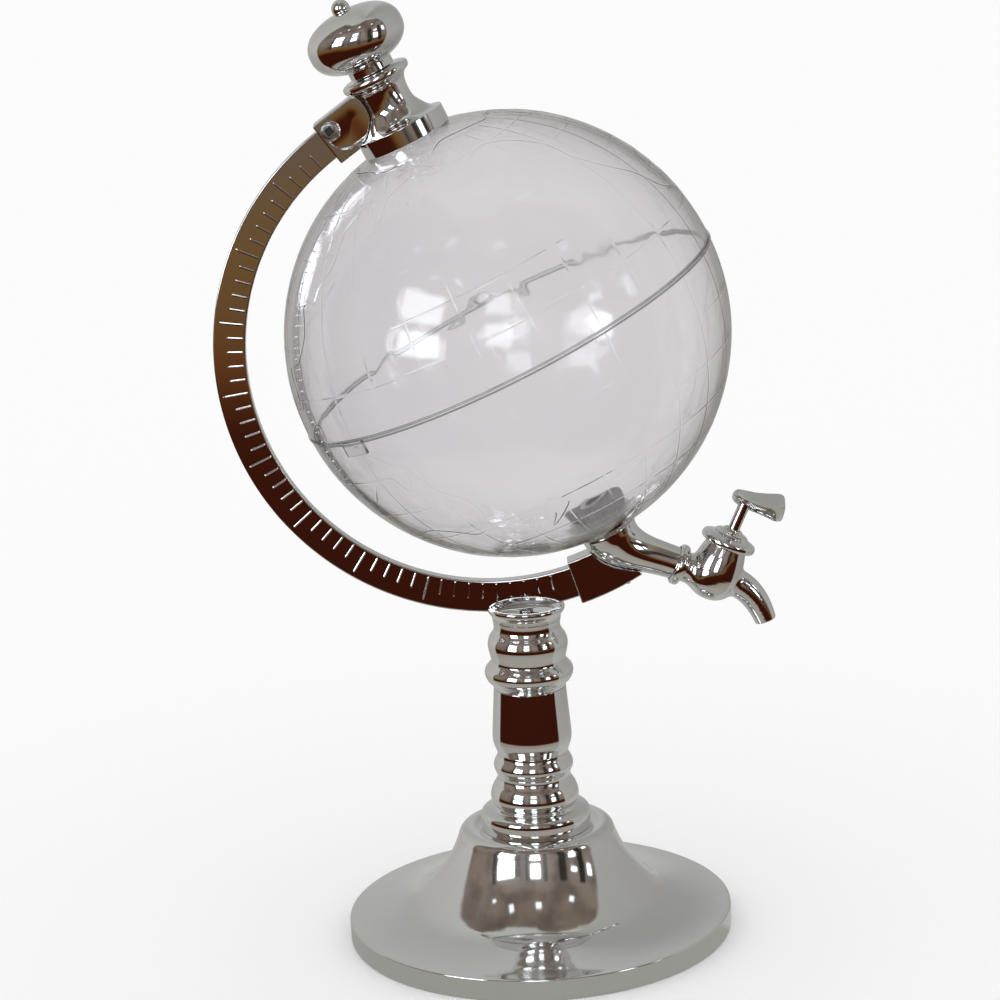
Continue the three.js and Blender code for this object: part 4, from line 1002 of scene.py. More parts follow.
piece("base_pad", plain_ring(0, pad_radius, 0, PAD_THICKNESS, PLAIN_EDGE), STAND)
piece("base_cover", turned([(0, cover_bottom), (pad_radius, cover_bottom), (pad_radius, cover_top),
                            (0, cover_top)]), STAND)
piece("base_shell", base_shell(), STAND)
column_part("base_collar", COLLAR_SHARES, COLLAR_RADIUS, collar_bottom, COLLAR_HEIGHT,
            [(COLLAR_RADIUS, collar_bottom)])
column_part("column_lower", COLUMN_LOWER_SHARES, COLUMN_RADIUS, lower_bottom, COLUMN_LOWER_HEIGHT)
column_part("column_middle", COLUMN_MIDDLE_SHARES, COLUMN_RADIUS, middle_bottom, COLUMN_MIDDLE_HEIGHT)
column_part("column_upper", COLUMN_UPPER_SHARES, COLUMN_RADIUS, upper_bottom, COLUMN_UPPER_HEIGHT)
piece("arm_cup", arm_cup(), STAND)
piece("meridian_arm", joined(arm_band(0, ARM_EDGE), arm_marks()), HEAD)


# The neck fitting, its lug and the arm's blocks

fitting_bottom = GLOBE_RADIUS - NECK_SEAT_DROP + GAP
fitting_top = fitting_bottom + FITTING_HEIGHT
fitting_collar_top = fitting_bottom + FITTING_COLLAR_HEIGHT
neck_seat = GLOBE_RADIUS - NECK_SEAT_DROP
neck_top = neck_seat + NECK_HEIGHT
fitting_ceiling = neck_top + GASKET_THICKNESS + 2 * GAP
fitting_side = [
    (FITTING_RADIUS, fitting_bottom),
    (FITTING_RADIUS, fitting_collar_top),
    *scaled(TRUMPET_SHARES, FITTING_RADIUS, fitting_collar_top - RIM_EDGE,
            fitting_top - fitting_collar_top + RIM_EDGE),
]


def box_form(low, high):
    corners = [(x, y, z) for x in (low[0], high[0]) for y in (low[1], high[1]) for z in (low[2], high[2])]
    return Form(corners, [[0, 1, 3, 2], [4, 6, 7, 5], [0, 4, 5, 1], [2, 3, 7, 6], [0, 2, 6, 4], [1, 5, 7, 3]])


def neck_fitting():
    recess = NECK_RADIUS + GAP
    body = turned(eased([
        (recess, fitting_bottom),
        *fitting_side,
        (FITTING_BORE, fitting_top),
        (FITTING_BORE, fitting_ceiling),
        (recess, fitting_ceiling),
    ], FITTING_EDGE))
    waist = FITTING_RADIUS * min(r for r, _ in TRUMPET_SHARES)
    middle = fitting_bottom + LUG_SHARE * FITTING_HEIGHT
    lug = box_form((-waist - LUG_LENGTH, -LUG_THICKNESS / 2, middle - LUG_HEIGHT / 2),
                   (-FITTING_BORE - GAP, LUG_THICKNESS / 2, middle + LUG_HEIGHT / 2))
    return joined(body, lug)


def upper_block():
    turn = math.radians(upper_block_angle)
    along = np.array((math.sin(turn), 0, -math.cos(turn)))
    outward = np.array((math.cos(turn), 0, math.sin(turn)))
    start = arm_point(arm_middle, upper_block_angle)
    screw = upper_screw_place()
    halves = (UPPER_BLOCK_LENGTH / 2, BLOCK_WIDTH / 2, BLOCK_THICKNESS / 2)

    def distance(p):
        forward = (p - start) @ along - halves[0]
        side = (p - start) @ outward
        block = to_box((forward, side, p[:, 1]), halves, BLOCK_EDGE)
        pocket = [h - POCKET_BORDER for h in halves[:2]]
        rim = to_box((forward, side - POCKET_SHIFT), pocket, POCKET_CORNER)
        run = to_box((forward + POCKET_RUN, side - POCKET_SHIFT + POCKET_RUN),
                     [h + POCKET_RUN for h in pocket], POCKET_CORNER)
        boss = np.hypot(p[:, 0] - screw[0], p[:, 2] - screw[2]) - SCREW_BOSS_RADIUS
        depth = POCKET_DEPTH * stepped(-run / POCKET_RUN)
        depth *= stepped(-rim / POCKET_WALL) * stepped(boss / BOSS_WALL)
        front = depth - BLOCK_THICKNESS / 2 - p[:, 1]
        block = np.maximum(block, np.minimum(front, 1))
        band = arm_distance(p) - GAP
        fitting = to_outline(np.hypot(p[:, 0], p[:, 1]), p[:, 2],
                             [(0, fitting_bottom), *fitting_side, (0, fitting_top)]) - GAP
        return without(without(block, band, ARM_SLOT_EDGE), fitting, BLOCK_CUT_EDGE)

    ends = [start + along * f + outward * s for f in (0, UPPER_BLOCK_LENGTH) for s in (-halves[1], halves[1])]
    return block_surface(distance, ends, BLOCK_CELL)


def block_surface(distance, ends, cell):
    """The surface of a block whose ends are known in the plane of the arm."""
    low, high = np.min(ends, axis=0) - MARGIN, np.max(ends, axis=0) + MARGIN
    low[1], high[1] = -BLOCK_THICKNESS / 2 - MARGIN, BLOCK_THICKNESS / 2 + MARGIN
    return surfaced(distance, low, high, cell)


def stepped(x):
    """A smooth step from 0 to 1."""
    x = np.clip(x, 0, 1)
    return x * x * (3 - 2 * x)


def ring_places(p):
    """Distances from the arm's middle line: outward, and along it from the lowest point."""
    x, z = p[:, 0] + ARM_SHIFT, p[:, 2] + ARM_DROP
    return np.hypot(x, z) - arm_middle, np.arctan2(x, -z) * arm_middle


def arm_distance(p):
    """The distance to the arm's band near its ends."""
    outward, along = ring_places(p)
    low_end = math.radians(arm_to - 270) * arm_middle
    high_end = math.radians(arm_from - 270) * arm_middle + 2 * math.pi * arm_middle
    from_low = np.where(along > 0, along, along + 2 * math.pi * arm_middle)
    ends = np.where(p[:, 2] < 0, along - low_end, high_end - from_low)
    sides = to_box((outward, p[:, 1]), (ARM_WIDTH / 2, ARM_THICKNESS / 2), ARM_EDGE)
    return np.maximum(sides, ends)


def upper_screw_place():
    inset = math.degrees(SCREW_INSET / arm_middle)
    return arm_point(arm_middle + SCREW_OFFSET, upper_block_angle - inset)


def upper_screw():
    face = BLOCK_THICKNESS / 2 + SCREW_STAND
    seat = BLOCK_THICKNESS / 2 - POCKET_DEPTH / 2
    half = SCREW_SOCKET / 2
    head = plain_ring(0, SCREW_HEAD_RADIUS, seat, face, SCREW_EDGE, sides=SMALL_SIDES)
    socket = box_form((-half, -half, face - SCREW_SOCKET_DEPTH), (half, half, face + 2))
    spin = Matrix.Rotation(math.radians(SCREW_SPIN), 4, "Z")
    return moved(cut(head, moved(socket, spin)), facing_front(upper_screw_place()))


def darken_socket(screw):
    """Gives the faces in the screw's socket a painted shade, dark as a recess that light hardly enters."""
    screw.data.materials.append(made_material(socket_shade))
    axis = HEAD @ Vector(upper_screw_place())
    front = axis.y - (BLOCK_THICKNESS / 2 + SCREW_STAND) * MM
    for face in screw.data.polygons:
        aside = math.hypot(face.center.x - axis.x, face.center.z - axis.z)
        # Faces deep in the socket get the painted shade.
        if aside < SCREW_SOCKET_REACH * MM and face.center.y > front + SOCKET_LIP * MM:
            face.material_index = 1


def facing_front(place):
    return Matrix.Translation(place) @ Matrix.Rotation(math.radians(90), 4, "X")


# The elbow's middle line, straight down the pole and then round to the tap's inlet

def bezier(points, count):
    points = np.array(points, float)
    rows = []
    for t in np.linspace(0, 1, count):
        row = points
        while len(row) > 1:
            row = row[:-1] * (1 - t) + row[1:] * t
        rows.append(row[0])
    return np.array(rows)


def in_head(x):
    return np.array(tap_in_head @ Vector((x, 0, 0)))


elbow_top = GLOBE_RADIUS - OUTLET_BOSS_DROP + GASKET_THICKNESS + 2 * GAP
elbow_line = bezier([
    (0, 0, -elbow_top),
    (0, 0, -elbow_top - ELBOW_POLE_REACH),
    in_head(-COUPLING_PLACE - ELBOW_TAP_REACH),
    in_head(-COUPLING_PLACE - GAP / 2),
], ELBOW_ROWS)
elbow_shares = flowing(ELBOW_RADIUS_SHARES)
elbow_radii = ELBOW_END_RADIUS + (ELBOW_FLARE_RADIUS - ELBOW_END_RADIUS) * np.interp(
    np.linspace(0, 1, ELBOW_ROWS), elbow_shares[:, 0], elbow_shares[:, 1])


def swept(line, radii, sides=SMALL_SIDES):
    """A round tube along a line in the XZ plane."""
    ways = unit(np.gradient(line, axis=0))
    rings = []
    for middle, way, radius in zip(line, ways, radii):
        up = np.array((-way[2], 0, way[0]))
        rings.append([middle + radius * (math.cos(t) * up + math.sin(t) * np.array((0, 1, 0)))
                      for t in np.linspace(0, 2 * math.pi, sides, endpoint=False)])
    return lofted(rings)


def lower_block():
    start = -math.radians(lower_block_start - 90) * arm_middle
    end = -math.radians(lower_block_end - 90) * arm_middle
    middle, half = (start + end) / 2, abs(end - start) / 2
    halves = (half, BLOCK_WIDTH / 2, BLOCK_THICKNESS / 2)

    def distance(p):
        outward, along = ring_places(p)
        block = to_box((along - middle, outward, p[:, 1]), halves, BLOCK_EDGE)
        block = without(block, arm_distance(p) - GAP, ARM_SLOT_EDGE)
        return without(block, to_tube(p, elbow_line[::6], elbow_radii[::6]) - GAP, BLOCK_CUT_EDGE)

    rim = [arm_point(arm_middle + s * BLOCK_WIDTH / 2, 270 + math.degrees(a / arm_middle))
           for s in (-1, 1) for a in np.linspace(start, end, 9)]
    return block_surface(distance, rim, LOWER_BLOCK_CELL)


piece("neck_fitting", neck_fitting(), HEAD)
piece("upper_block", upper_block(), HEAD)
darken_socket(piece("upper_block_screw", upper_screw(), HEAD))
piece("lower_block", lower_block(), HEAD)


# The globe

globe_inner = GLOBE_RADIUS - GLOBE_WALL
half_edge = SEAL_HEIGHT / 2 + GAP
spigot_bore = SPIGOT_RADIUS + GAP


def sphere_arc(radius, start, end):
    turns = np.linspace(math.asin(start / radius), math.asin(end / radius), SPHERE_STEPS + 1)
    return [(radius * math.cos(t), radius * math.sin(t)) for t in turns]


def upper_shell():
    bore = NECK_RADIUS - NECK_WALL
    inner_top = math.sqrt(globe_inner ** 2 - bore ** 2)
    return turned(eased([
        *sphere_arc(GLOBE_RADIUS, half_edge, neck_seat),
        (NECK_RADIUS, neck_seat),
        (NECK_RADIUS, neck_top),
        (bore, neck_top),
        *sphere_arc(globe_inner, inner_top, half_edge),
    ], RING_EDGE), GLOBE_SIDES)


def lower_shell():
    outer_end = math.sqrt(GLOBE_RADIUS ** 2 - OUTLET_BOSS_RADIUS ** 2)
    inner_end = math.sqrt(globe_inner ** 2 - OUTLET_INNER_RADIUS ** 2)
    inner_face = globe_inner - OUTLET_INNER_DROP
    boss_face = GLOBE_RADIUS - OUTLET_BOSS_DROP
    return turned(eased([
        *sphere_arc(globe_inner, -half_edge, -inner_end),
        (OUTLET_INNER_RADIUS, -inner_face),
        (spigot_bore, -inner_face),
        (spigot_bore, -boss_face),
        (OUTLET_BOSS_RADIUS, -boss_face),
        *sphere_arc(GLOBE_RADIUS, -outer_end, -half_edge),
    ], RING_EDGE), GLOBE_SIDES)


def globe_way(longitude, latitude):
    """The direction from the globe's centre, with the longitude as the angle from the tap's side."""
    longitude, latitude = np.radians(longitude), np.radians(latitude)
    return np.stack([np.cos(latitude) * np.cos(longitude), np.cos(latitude) * np.sin(longitude),
                     np.sin(latitude)], axis=-1)


def ridge(ways, closed, width, height):
    """A low raised line on the globe, along directions from its centre."""
    if closed:
        tangents = np.roll(ways, -1, axis=0) - np.roll(ways, 1, axis=0)
    else:
        tangents = np.gradient(ways, axis=0)
    sides = unit(np.cross(ways, tangents))
    half = width / 2
    section = [(half * across, height * bell_height(across) - RIDGE_FOOT)
               for across in np.linspace(1, -1, RIDGE_POINTS)]
    section += [(-half, -RIDGE_SINK), (half, -RIDGE_SINK)]
    return lofted([[way * (GLOBE_RADIUS + up) + side * across for across, up in section]
                   for way, side in zip(ways, sides)], closed)


def parallels(low, high):
    around = np.linspace(0, 360, PARALLEL_POINTS, endpoint=False)
    rows = range(-PARALLEL_COUNT * PARALLEL_STEP, HIGHEST_PARALLEL, PARALLEL_STEP)
    return gathered([ridge(globe_way(around, 0 * around + latitude), True, RIDGE_WIDTH, RIDGE_HEIGHT)
                     for latitude in rows if low < latitude < high])


def meridians(low, high):
    up = np.linspace(low, high, MERIDIAN_POINTS)
    return gathered([ridge(globe_way(0 * up + longitude, up), False, RIDGE_WIDTH, RIDGE_HEIGHT)
                     for longitude in range(MERIDIAN_START, MERIDIAN_START + 360, MERIDIAN_STEP)])


def coast(places):
    """A closed outline of land, made smooth."""
    loop = np.array([places[-1], *places, places[0], places[1]], float)
    loop[:, 0] = np.degrees(np.unwrap(np.radians(loop[:, 0])))
    line = flowing(loop, COAST_STEPS)[COAST_STEPS:-COAST_STEPS * 2]
    return ridge(globe_way(line[:, 0] + LAND_TURN, line[:, 1]), True, COAST_WIDTH, COAST_HEIGHT)


def half_globe(shell, low, high, side):
    """One half of the globe, with its grid and its land raised from it."""
    reach = GLOBE_RADIUS + 5
    land = gathered([coast(places) for places in LAND])
    room = box_form((-reach, -reach, half_edge), (reach, reach, reach))
    if side < 0:
        room = box_form((-reach, -reach, -reach), (reach, reach, -half_edge))
    return joined(shell, parallels(low, high), meridians(low, high), worked("INTERSECT", land, room))


def globe_seal():
    outer = GLOBE_RADIUS + SEAL_STAND
    inner = globe_inner - SEAL_INNER_GAP
    half = SEAL_HEIGHT / 2
    band = plain_ring(inner, outer, -half, half, PLAIN_EDGE, sides=GLOBE_SIDES)
    tab_inner = GLOBE_RADIUS + GAP
    tab = box_form((tab_inner, -SEAL_TAB_WIDTH / 2, -half - SEAL_TAB_DROP),
                   (tab_inner + SEAL_TAB_THICKNESS, SEAL_TAB_WIDTH / 2, half))
    root = box_form((globe_inner, -SEAL_TAB_WIDTH / 2, -half), (tab_inner + 0.5, SEAL_TAB_WIDTH / 2, half))
    spin = Matrix.Rotation(math.radians(SEAL_TAB_ANGLE), 4, "Z")
    return joined(band, moved(tab, spin), moved(root, spin))


edge_angle = math.degrees(math.asin(half_edge / GLOBE_RADIUS)) + 0.05
ball_radii = (GLOBE_RADIUS, globe_inner)
piece("globe_upper", half_globe(upper_shell(), edge_angle, HIGHEST_PARALLEL + 1, 1), HEAD, ball_radii)
piece("globe_lower", half_globe(lower_shell(), -HIGHEST_PARALLEL - 1, -edge_angle, -1), HEAD, ball_radii)
piece("globe_seal", globe_seal(), HEAD)


# The stopper

knob_bottom = fitting_top + GAP
knob_middle = knob_bottom + KNOB_NECK_HEIGHT + KNOB_THICKNESS / 2
knob_top = knob_middle + KNOB_THICKNESS / 2


def knob():
    round_part = []
    for turn in np.linspace(-math.pi / 2, math.pi / 2, KNOB_POINTS):
        out = max(math.cos(turn), 0) ** (2 / KNOB_ROUNDNESS)
        up = math.copysign(abs(math.sin(turn)) ** (2 / KNOB_ROUNDNESS), turn)
        place = (KNOB_RADIUS * out, knob_middle + KNOB_THICKNESS / 2 * up)
        if place[0] > KNOB_NECK_RADIUS or place[1] > knob_middle:
            round_part.append(place)
    round_part[-1] = (0, knob_top)
    bore = PLUG_STUD_RADIUS + GAP
    stud_top = knob_bottom + PLUG_STUD_LENGTH + GAP
    return turned(eased([
        (0, stud_top),
        (bore, stud_top),
        (bore, knob_bottom),
        (KNOB_NECK_RADIUS, knob_bottom),
        (KNOB_NECK_RADIUS, knob_bottom + KNOB_NECK_HEIGHT),
        *round_part,
    ], KNOB_EDGE))


def knob_finial():
    middle = knob_top + FINIAL_RADIUS - FINIAL_SINK
    ball = [(FINIAL_RADIUS * math.cos(t), middle + FINIAL_RADIUS * math.sin(t))
            for t in np.linspace(-math.pi / 2, math.pi / 2, BALL_POINTS)]
    ball[0], ball[-1] = (0, middle - FINIAL_RADIUS), (0, middle + FINIAL_RADIUS)
    return turned(ball, SMALL_SIDES)


def stopper_plug():
    bottom = knob_bottom - GAP - PLUG_LENGTH
    top = knob_bottom - GAP
    stud_top = knob_bottom + PLUG_STUD_LENGTH
    side = [(PLUG_RADIUS, bottom)]
    for depth in (LOWER_SEAL_DEPTH, UPPER_SEAL_DEPTH):
        low = knob_bottom - depth - SEAL_RING_HEIGHT - GAP
        high = knob_bottom - depth + GAP
        floor = PLUG_RADIUS - SEAL_RING_DEPTH
        side += [(PLUG_RADIUS, low), (floor, low), (floor, high), (PLUG_RADIUS, high)]
    side += [(PLUG_RADIUS, top), (PLUG_STUD_RADIUS, top), (PLUG_STUD_RADIUS, stud_top)]
    return ring_stack(bottom, side, stud_top, 0, PLAIN_EDGE, sides=SMALL_SIDES)


def seal_ring(depth):
    inner = PLUG_RADIUS - SEAL_RING_DEPTH + GAP
    outer = PLUG_RADIUS + SEAL_RING_STAND
    top = knob_bottom - depth
    return plain_ring(inner, outer, top - SEAL_RING_HEIGHT, top, SOFT_EDGE, sides=SMALL_SIDES)


for node, form in (
    ("knob", knob()),
    ("knob_finial", knob_finial()),
    ("stopper_plug", stopper_plug()),
    ("stopper_seal_upper", seal_ring(UPPER_SEAL_DEPTH)),
    ("stopper_seal_lower", seal_ring(LOWER_SEAL_DEPTH)),
):
    piece(node, form, HEAD)


# The outlet

def ribbed(radius, height, angles):
    """The nut's outer side has shallow ribs."""
    if radius < OUTLET_NUT_RADIUS - 1:
        return np.full(len(angles), float(radius))
    return radius - OUTLET_NUT_RIB_DEPTH * (0.5 - 0.5 * np.cos(OUTLET_NUT_RIBS * angles)) ** 2


def outlet_elbow():
    spigot_top = SPIGOT_REACH - elbow_top
    tube = swept(elbow_line, elbow_radii)
    spigot = plain_ring(0, SPIGOT_RADIUS, -elbow_top - 1, spigot_top, SPIGOT_EDGE, sides=SMALL_SIDES)
    ends = [elbow_line[0] + (0, 0, spigot_top + elbow_top + 2), *elbow_line[1:-1],
            elbow_line[-1] * 3 - elbow_line[-2] * 2]
    bore = swept(np.array(ends), np.full(len(ends), float(PIPE_BORE)), BORE_SIDES)
    return cut(joined(tube, spigot), bore)


washer_bottom = -(globe_inner - OUTLET_INNER_DROP) + GAP
nut_bottom = washer_bottom + OUTLET_WASHER_THICKNESS + GAP
gasket_bottom = -(GLOBE_RADIUS - OUTLET_BOSS_DROP) - GAP - GASKET_THICKNESS
piece("outlet_elbow", outlet_elbow(), HEAD)
for node, radius, bottom, height in (
    ("outlet_gasket", ELBOW_FLARE_RADIUS, gasket_bottom, GASKET_THICKNESS),
    ("outlet_washer", OUTLET_WASHER_RADIUS, washer_bottom, OUTLET_WASHER_THICKNESS),
):
    piece(node, plain_ring(spigot_bore, radius, bottom, bottom + height), HEAD)
piece("outlet_nut", plain_ring(spigot_bore, OUTLET_NUT_RADIUS, nut_bottom, nut_bottom + OUTLET_NUT_HEIGHT,
                               SOFT_EDGE, sides=RIBBED_SIDES, wave=ribbed), HEAD)


# The tap

bonnet_bottom = BODY_TOP + GAP


def coupling_ring():
    start = -COUPLING_PLACE - COUPLING_LENGTH / 2
    outer = flowing([(COUPLING_RADIUS * r, start + COUPLING_LENGTH * s) for r, s in COUPLING_SHARES])
    turned_ring = ring_stack(start, outer, start + COUPLING_LENGTH, COUPLING_BORE, THIN_EDGE)
    return moved(turned_ring, Matrix.Rotation(math.radians(90), 4, "Y"))


def spout_line():
    fall = math.radians(SPOUT_FALL)
    run = SPOUT_REACH * (1 - SPOUT_MIDDLE_SHARE)
    return bezier([
        (CAVITY_RADIUS, 0, SPOUT_ROOT_LIFT),
        (SPOUT_REACH - run, 0, -SPOUT_DROP + run * math.tan(fall)),
        (SPOUT_REACH, 0, -SPOUT_DROP),
    ], SPOUT_ROWS)


def valve_body():
    vase = [*scaled(VALVE_BODY_SHARES, BODY_RADIUS, -BODY_BOTTOM, BODY_TOP + BODY_BOTTOM), (0, BODY_TOP)]
    line = spout_line()
    shares = np.linspace(0, 1, len(line))
    radii = SPOUT_ROOT_RADIUS + (SPOUT_END_RADIUS - SPOUT_ROOT_RADIUS) * shares ** 2
    way = (line[-1] - line[-2]) / np.linalg.norm(line[-1] - line[-2])
    outer_line = np.vstack([line, line[-1] + way * SPOUT_OVERRUN])
    bore_line = np.vstack([(0, 0, SPOUT_ROOT_LIFT), outer_line])
    stub_end = GAP / 2 - COUPLING_PLACE
    shoulder = -COUPLING_PLACE + COUPLING_LENGTH / 2 + GAP
    stub = [(0, stub_end), (INLET_RADIUS, stub_end), (INLET_RADIUS, shoulder),
            (INLET_WAIST_RADIUS, shoulder + GAP), (INLET_WAIST_RADIUS, 0), (0, 0)]

    def distance(p):
        round_z = np.hypot(p[:, 0], p[:, 1])
        round_x = np.hypot(p[:, 1], p[:, 2])
        body = to_outline(round_z, p[:, 2], vase)
        inlet = to_outline(round_x, p[:, 0], stub)
        spout = to_tube(p, outer_line, [*radii, SPOUT_END_RADIUS])
        spout = without(spout, line[-1] @ way - p @ way, SPOUT_EDGE)
        made = melded(melded(body, inlet, BODY_FILLET), spout, BODY_FILLET)
        cavity = np.maximum(round_z - CAVITY_RADIUS, -CAVITY_DEPTH - p[:, 2])
        bore = to_tube(p, bore_line, np.full(len(bore_line), float(SPOUT_BORE)))
        pipe = np.maximum(round_x - PIPE_BORE, p[:, 0])
        return without(made, np.minimum(np.minimum(cavity, pipe), bore), BODY_EDGE)

    low = (-COUPLING_PLACE - MARGIN, -BODY_RADIUS - MARGIN, -SPOUT_DROP - SPOUT_END_RADIUS - 2 * MARGIN)
    high = (SPOUT_REACH + SPOUT_END_RADIUS + MARGIN, BODY_RADIUS + MARGIN, BODY_TOP + MARGIN)
    return surfaced(distance, low, high, BODY_CELL)


def bonnet():
    side = scaled(BONNET_SHARES, BONNET_RADIUS, bonnet_bottom, BONNET_HEIGHT)
    return ring_stack(bonnet_bottom, side, bonnet_bottom + BONNET_HEIGHT, STEM_RADIUS + GAP, THIN_EDGE)


def valve_stem():
    top = HANDLE_HEIGHT + HANDLE_STEM_DEPTH
    return plain_ring(0, STEM_RADIUS, BODY_TOP - STEM_SINK, top, PLAIN_EDGE, sides=SMALL_SIDES)


def tap_handle():
    rings = []
    for along, up, tall, deep in flowing(HANDLE_SHARES, HANDLE_STEPS):
        slope = math.radians(HANDLE_END_TILT) * along
        twist = math.radians(HANDLE_TWIST) * stepped(along * 2)
        middle = np.array((along * HANDLE_LENGTH - HANDLE_HUB_OFFSET, 0, HANDLE_HEIGHT + up * HANDLE_LENGTH))
        upward = np.array((-math.sin(slope), 0, math.cos(slope)))
        ring = []
        for t in np.linspace(0, 2 * math.pi, SMALL_SIDES, endpoint=False):
            rise = math.copysign(abs(math.cos(t)) ** (2 / HANDLE_ROUNDNESS), math.cos(t))
            out = math.copysign(abs(math.sin(t)) ** (2 / HANDLE_ROUNDNESS), math.sin(t))
            high, wide = rise * tall * HANDLE_END_HALF_HEIGHT, out * deep * HANDLE_END_HALF_HEIGHT
            ring.append(middle + upward * (high * math.cos(twist) - wide * math.sin(twist))
                        + np.array((0, high * math.sin(twist) + wide * math.cos(twist), 0)))
        rings.append(ring)
    return lofted(rings)


for part in (coupling_ring, valve_body, bonnet, valve_stem, tap_handle):
    piece(part.__name__, part(), TAP)


# The floor, the room that the chrome mirrors, and the camera

FLOOR_SIZE = 14
FLOOR_DROP = 0.0001
MIRRORED = 0.82


def tone(red, green, blue):
    """The light in the room that the chrome mirrors as this screen colour."""
    def linear(value):
        share = value / 255
        return share / 12.92 if share <= 0.04045 else ((share + 0.055) / 1.055) ** 2.4
    return tuple(linear(c) / MIRRORED for c in (red, green, blue))


ROOM_ROWS = [
    (-90, (88, 64, 40)), (-12, (100, 78, 52)), (-6, (104, 84, 66)), (-2, (104, 88, 76)), (10, (112, 101, 93)),
    (30, (116, 106, 99)), (50, (110, 99, 90)), (62, (104, 93, 84)), (90, (110, 100, 92)),
]
TENT_ROWS = [
    (-90, (152, 148, 142)), (-30, (160, 157, 153)), (0, (182, 179, 176)), (15, (178, 176, 173)),
    (40, (174, 174, 170)), (60, (174, 175, 170)), (90, (162, 163, 158)),
]
BACK_ROWS = [
    (-90, (152, 148, 142)), (-30, (176, 175, 171)), (-10, (182, 181, 178)), (2, (184, 183, 180)),
    (10, (176, 176, 174)), (28, (173, 173, 171)), (60, (172, 173, 168)), (90, (162, 163, 158)),
]
# What is seen straight through the clear globe, on every side.
BACKDROP = (214, 212, 213)
# How much of the pale tent is seen, how much of its bright back, and how bright each side is, by azimuth.
TENT_SHARES = [(-180, 1), (-108, 1), (-104, 0), (79, 0), (83, 1), (180, 1)]
BACK_SHARES = [(-180, 1), (-168, 1), (-148, 0), (148, 0), (168, 1), (180, 1)]
SIDE_SHARES = [
    (-180, 0.97), (-174, 0.92), (-160, 0.82), (-140, 0.9), (-104, 1), (79, 1), (84, 0.78), (115, 0.74),
    (145, 0.68), (165, 0.68), (176, 0.92), (180, 0.97),
]
# How high the tent's roof starts, as a share of 90 degrees, by azimuth.
ROOF_SHARES = [
    (-180, 0.7), (-90, 0.7), (-40, 0.75), (0, 0.84), (40, 0.86), (60, 0.78), (90, 0.66), (180, 0.62),
]
ROOF_SAG = 9
ROOF_EDGE = 5
FOLD_SCALE = 7
BLOTCH_SCALE = 2.6
# The table as polished metal mirrors it, by the distance from the stand's axis: cloth, then dark wood.
CLOTH = (168, 168, 164)
CLOTH_FADE = (0.1, 0.5)
WOOD_REACH = 2.3
CLOTH_ROWS = [(0.09, (148, 149, 142)), (0.18, (154, 150, 143)), (0.28, (138, 131, 122))]
WOOD_ROWS = [
    (0.3, (76, 48, 36)), (0.33, (50, 18, 9)), (1.05, (54, 20, 10)), (1.28, (90, 52, 26)), (1.5, (97, 71, 41)),
    (1.8, (102, 77, 46)), (2.3, (102, 80, 58)),
]
# Windows, ceiling lamps and the haze round them: azimuth, elevation, half width, half height, strength, edge.
WINDOWS = [
    (-47, 5, 13, 7, 6, 2.5), (-47, 22, 13, 8, 5, 2.5), (-5, 11, 8, 7, 4.5, 2.5), (-5, 27, 8, 6, 3.5, 2.5),
    (49, 9, 6, 7, 5.5, 2.5), (50, 23, 5, 3, 4, 2.5), (72, 22, 4, 6, 3, 2.5), (-22, 16, 50, 30, 0.11, 26),
    (-66, 46, 3, 2, 1.3, 1.5), (-44, 55, 4, 3, 1.3, 1.5), (-3, 57, 5, 3, 1.4, 1.5), (46, 50, 4, 3, 1.3, 1.5),
]
WINDOW_TINT = (0.86, 0.94, 1)
# Curtains beside the windows: azimuth, elevation, half width, half height, share of the light kept out, edge.
CURTAINS = [
    (-64, 12, 4, 22, 0.7, 2), (-30, 10, 5, 20, 0.55, 2), (-17, 12, 3, 22, 0.6, 2), (9, 12, 4, 24, 0.6, 2),
    (34, 12, 7, 24, 0.8, 3), (61, 12, 5, 24, 0.85, 2), (0, -2, 75, 3, 0.5, 2),
]


def pane(graph, azimuth, elevation, place, height, half_width, half_height, edge):
    """A rectangle of the room, from 0 outside it to 1 inside."""
    sides = []
    for angle, middle, half in ((azimuth, place, half_width), (elevation, height, half_height)):
        off = graph.math("ABSOLUTE", graph.math("SUBTRACT", angle, float(middle)))
        sides.append(graph.math("DIVIDE", graph.math("SUBTRACT", float(half), off), edge, clamped=True))
    return graph.math("MULTIPLY", *sides)


def azimuth_of(graph, x, y):
    """The angle round from the front, where a whole turn goes from 0 to 1."""
    turn = graph.math("ARCTAN2", x, graph.math("MULTIPLY", y, -1.0))
    return graph.math("MULTIPLY_ADD", turn, 0.5 / math.pi, 0.5)


def by_azimuth(graph, around, shares):
    return graph.ramp(around, [((angle + 180) / 360, grey(share)) for angle, share in shares])


def mirror_seen(graph):
    """1 for light by way of a mirror, and 0 for light seen straight or through the clear globe alone."""
    return graph.math("GREATER_THAN", graph.path("Glossy Depth"), 0.5)


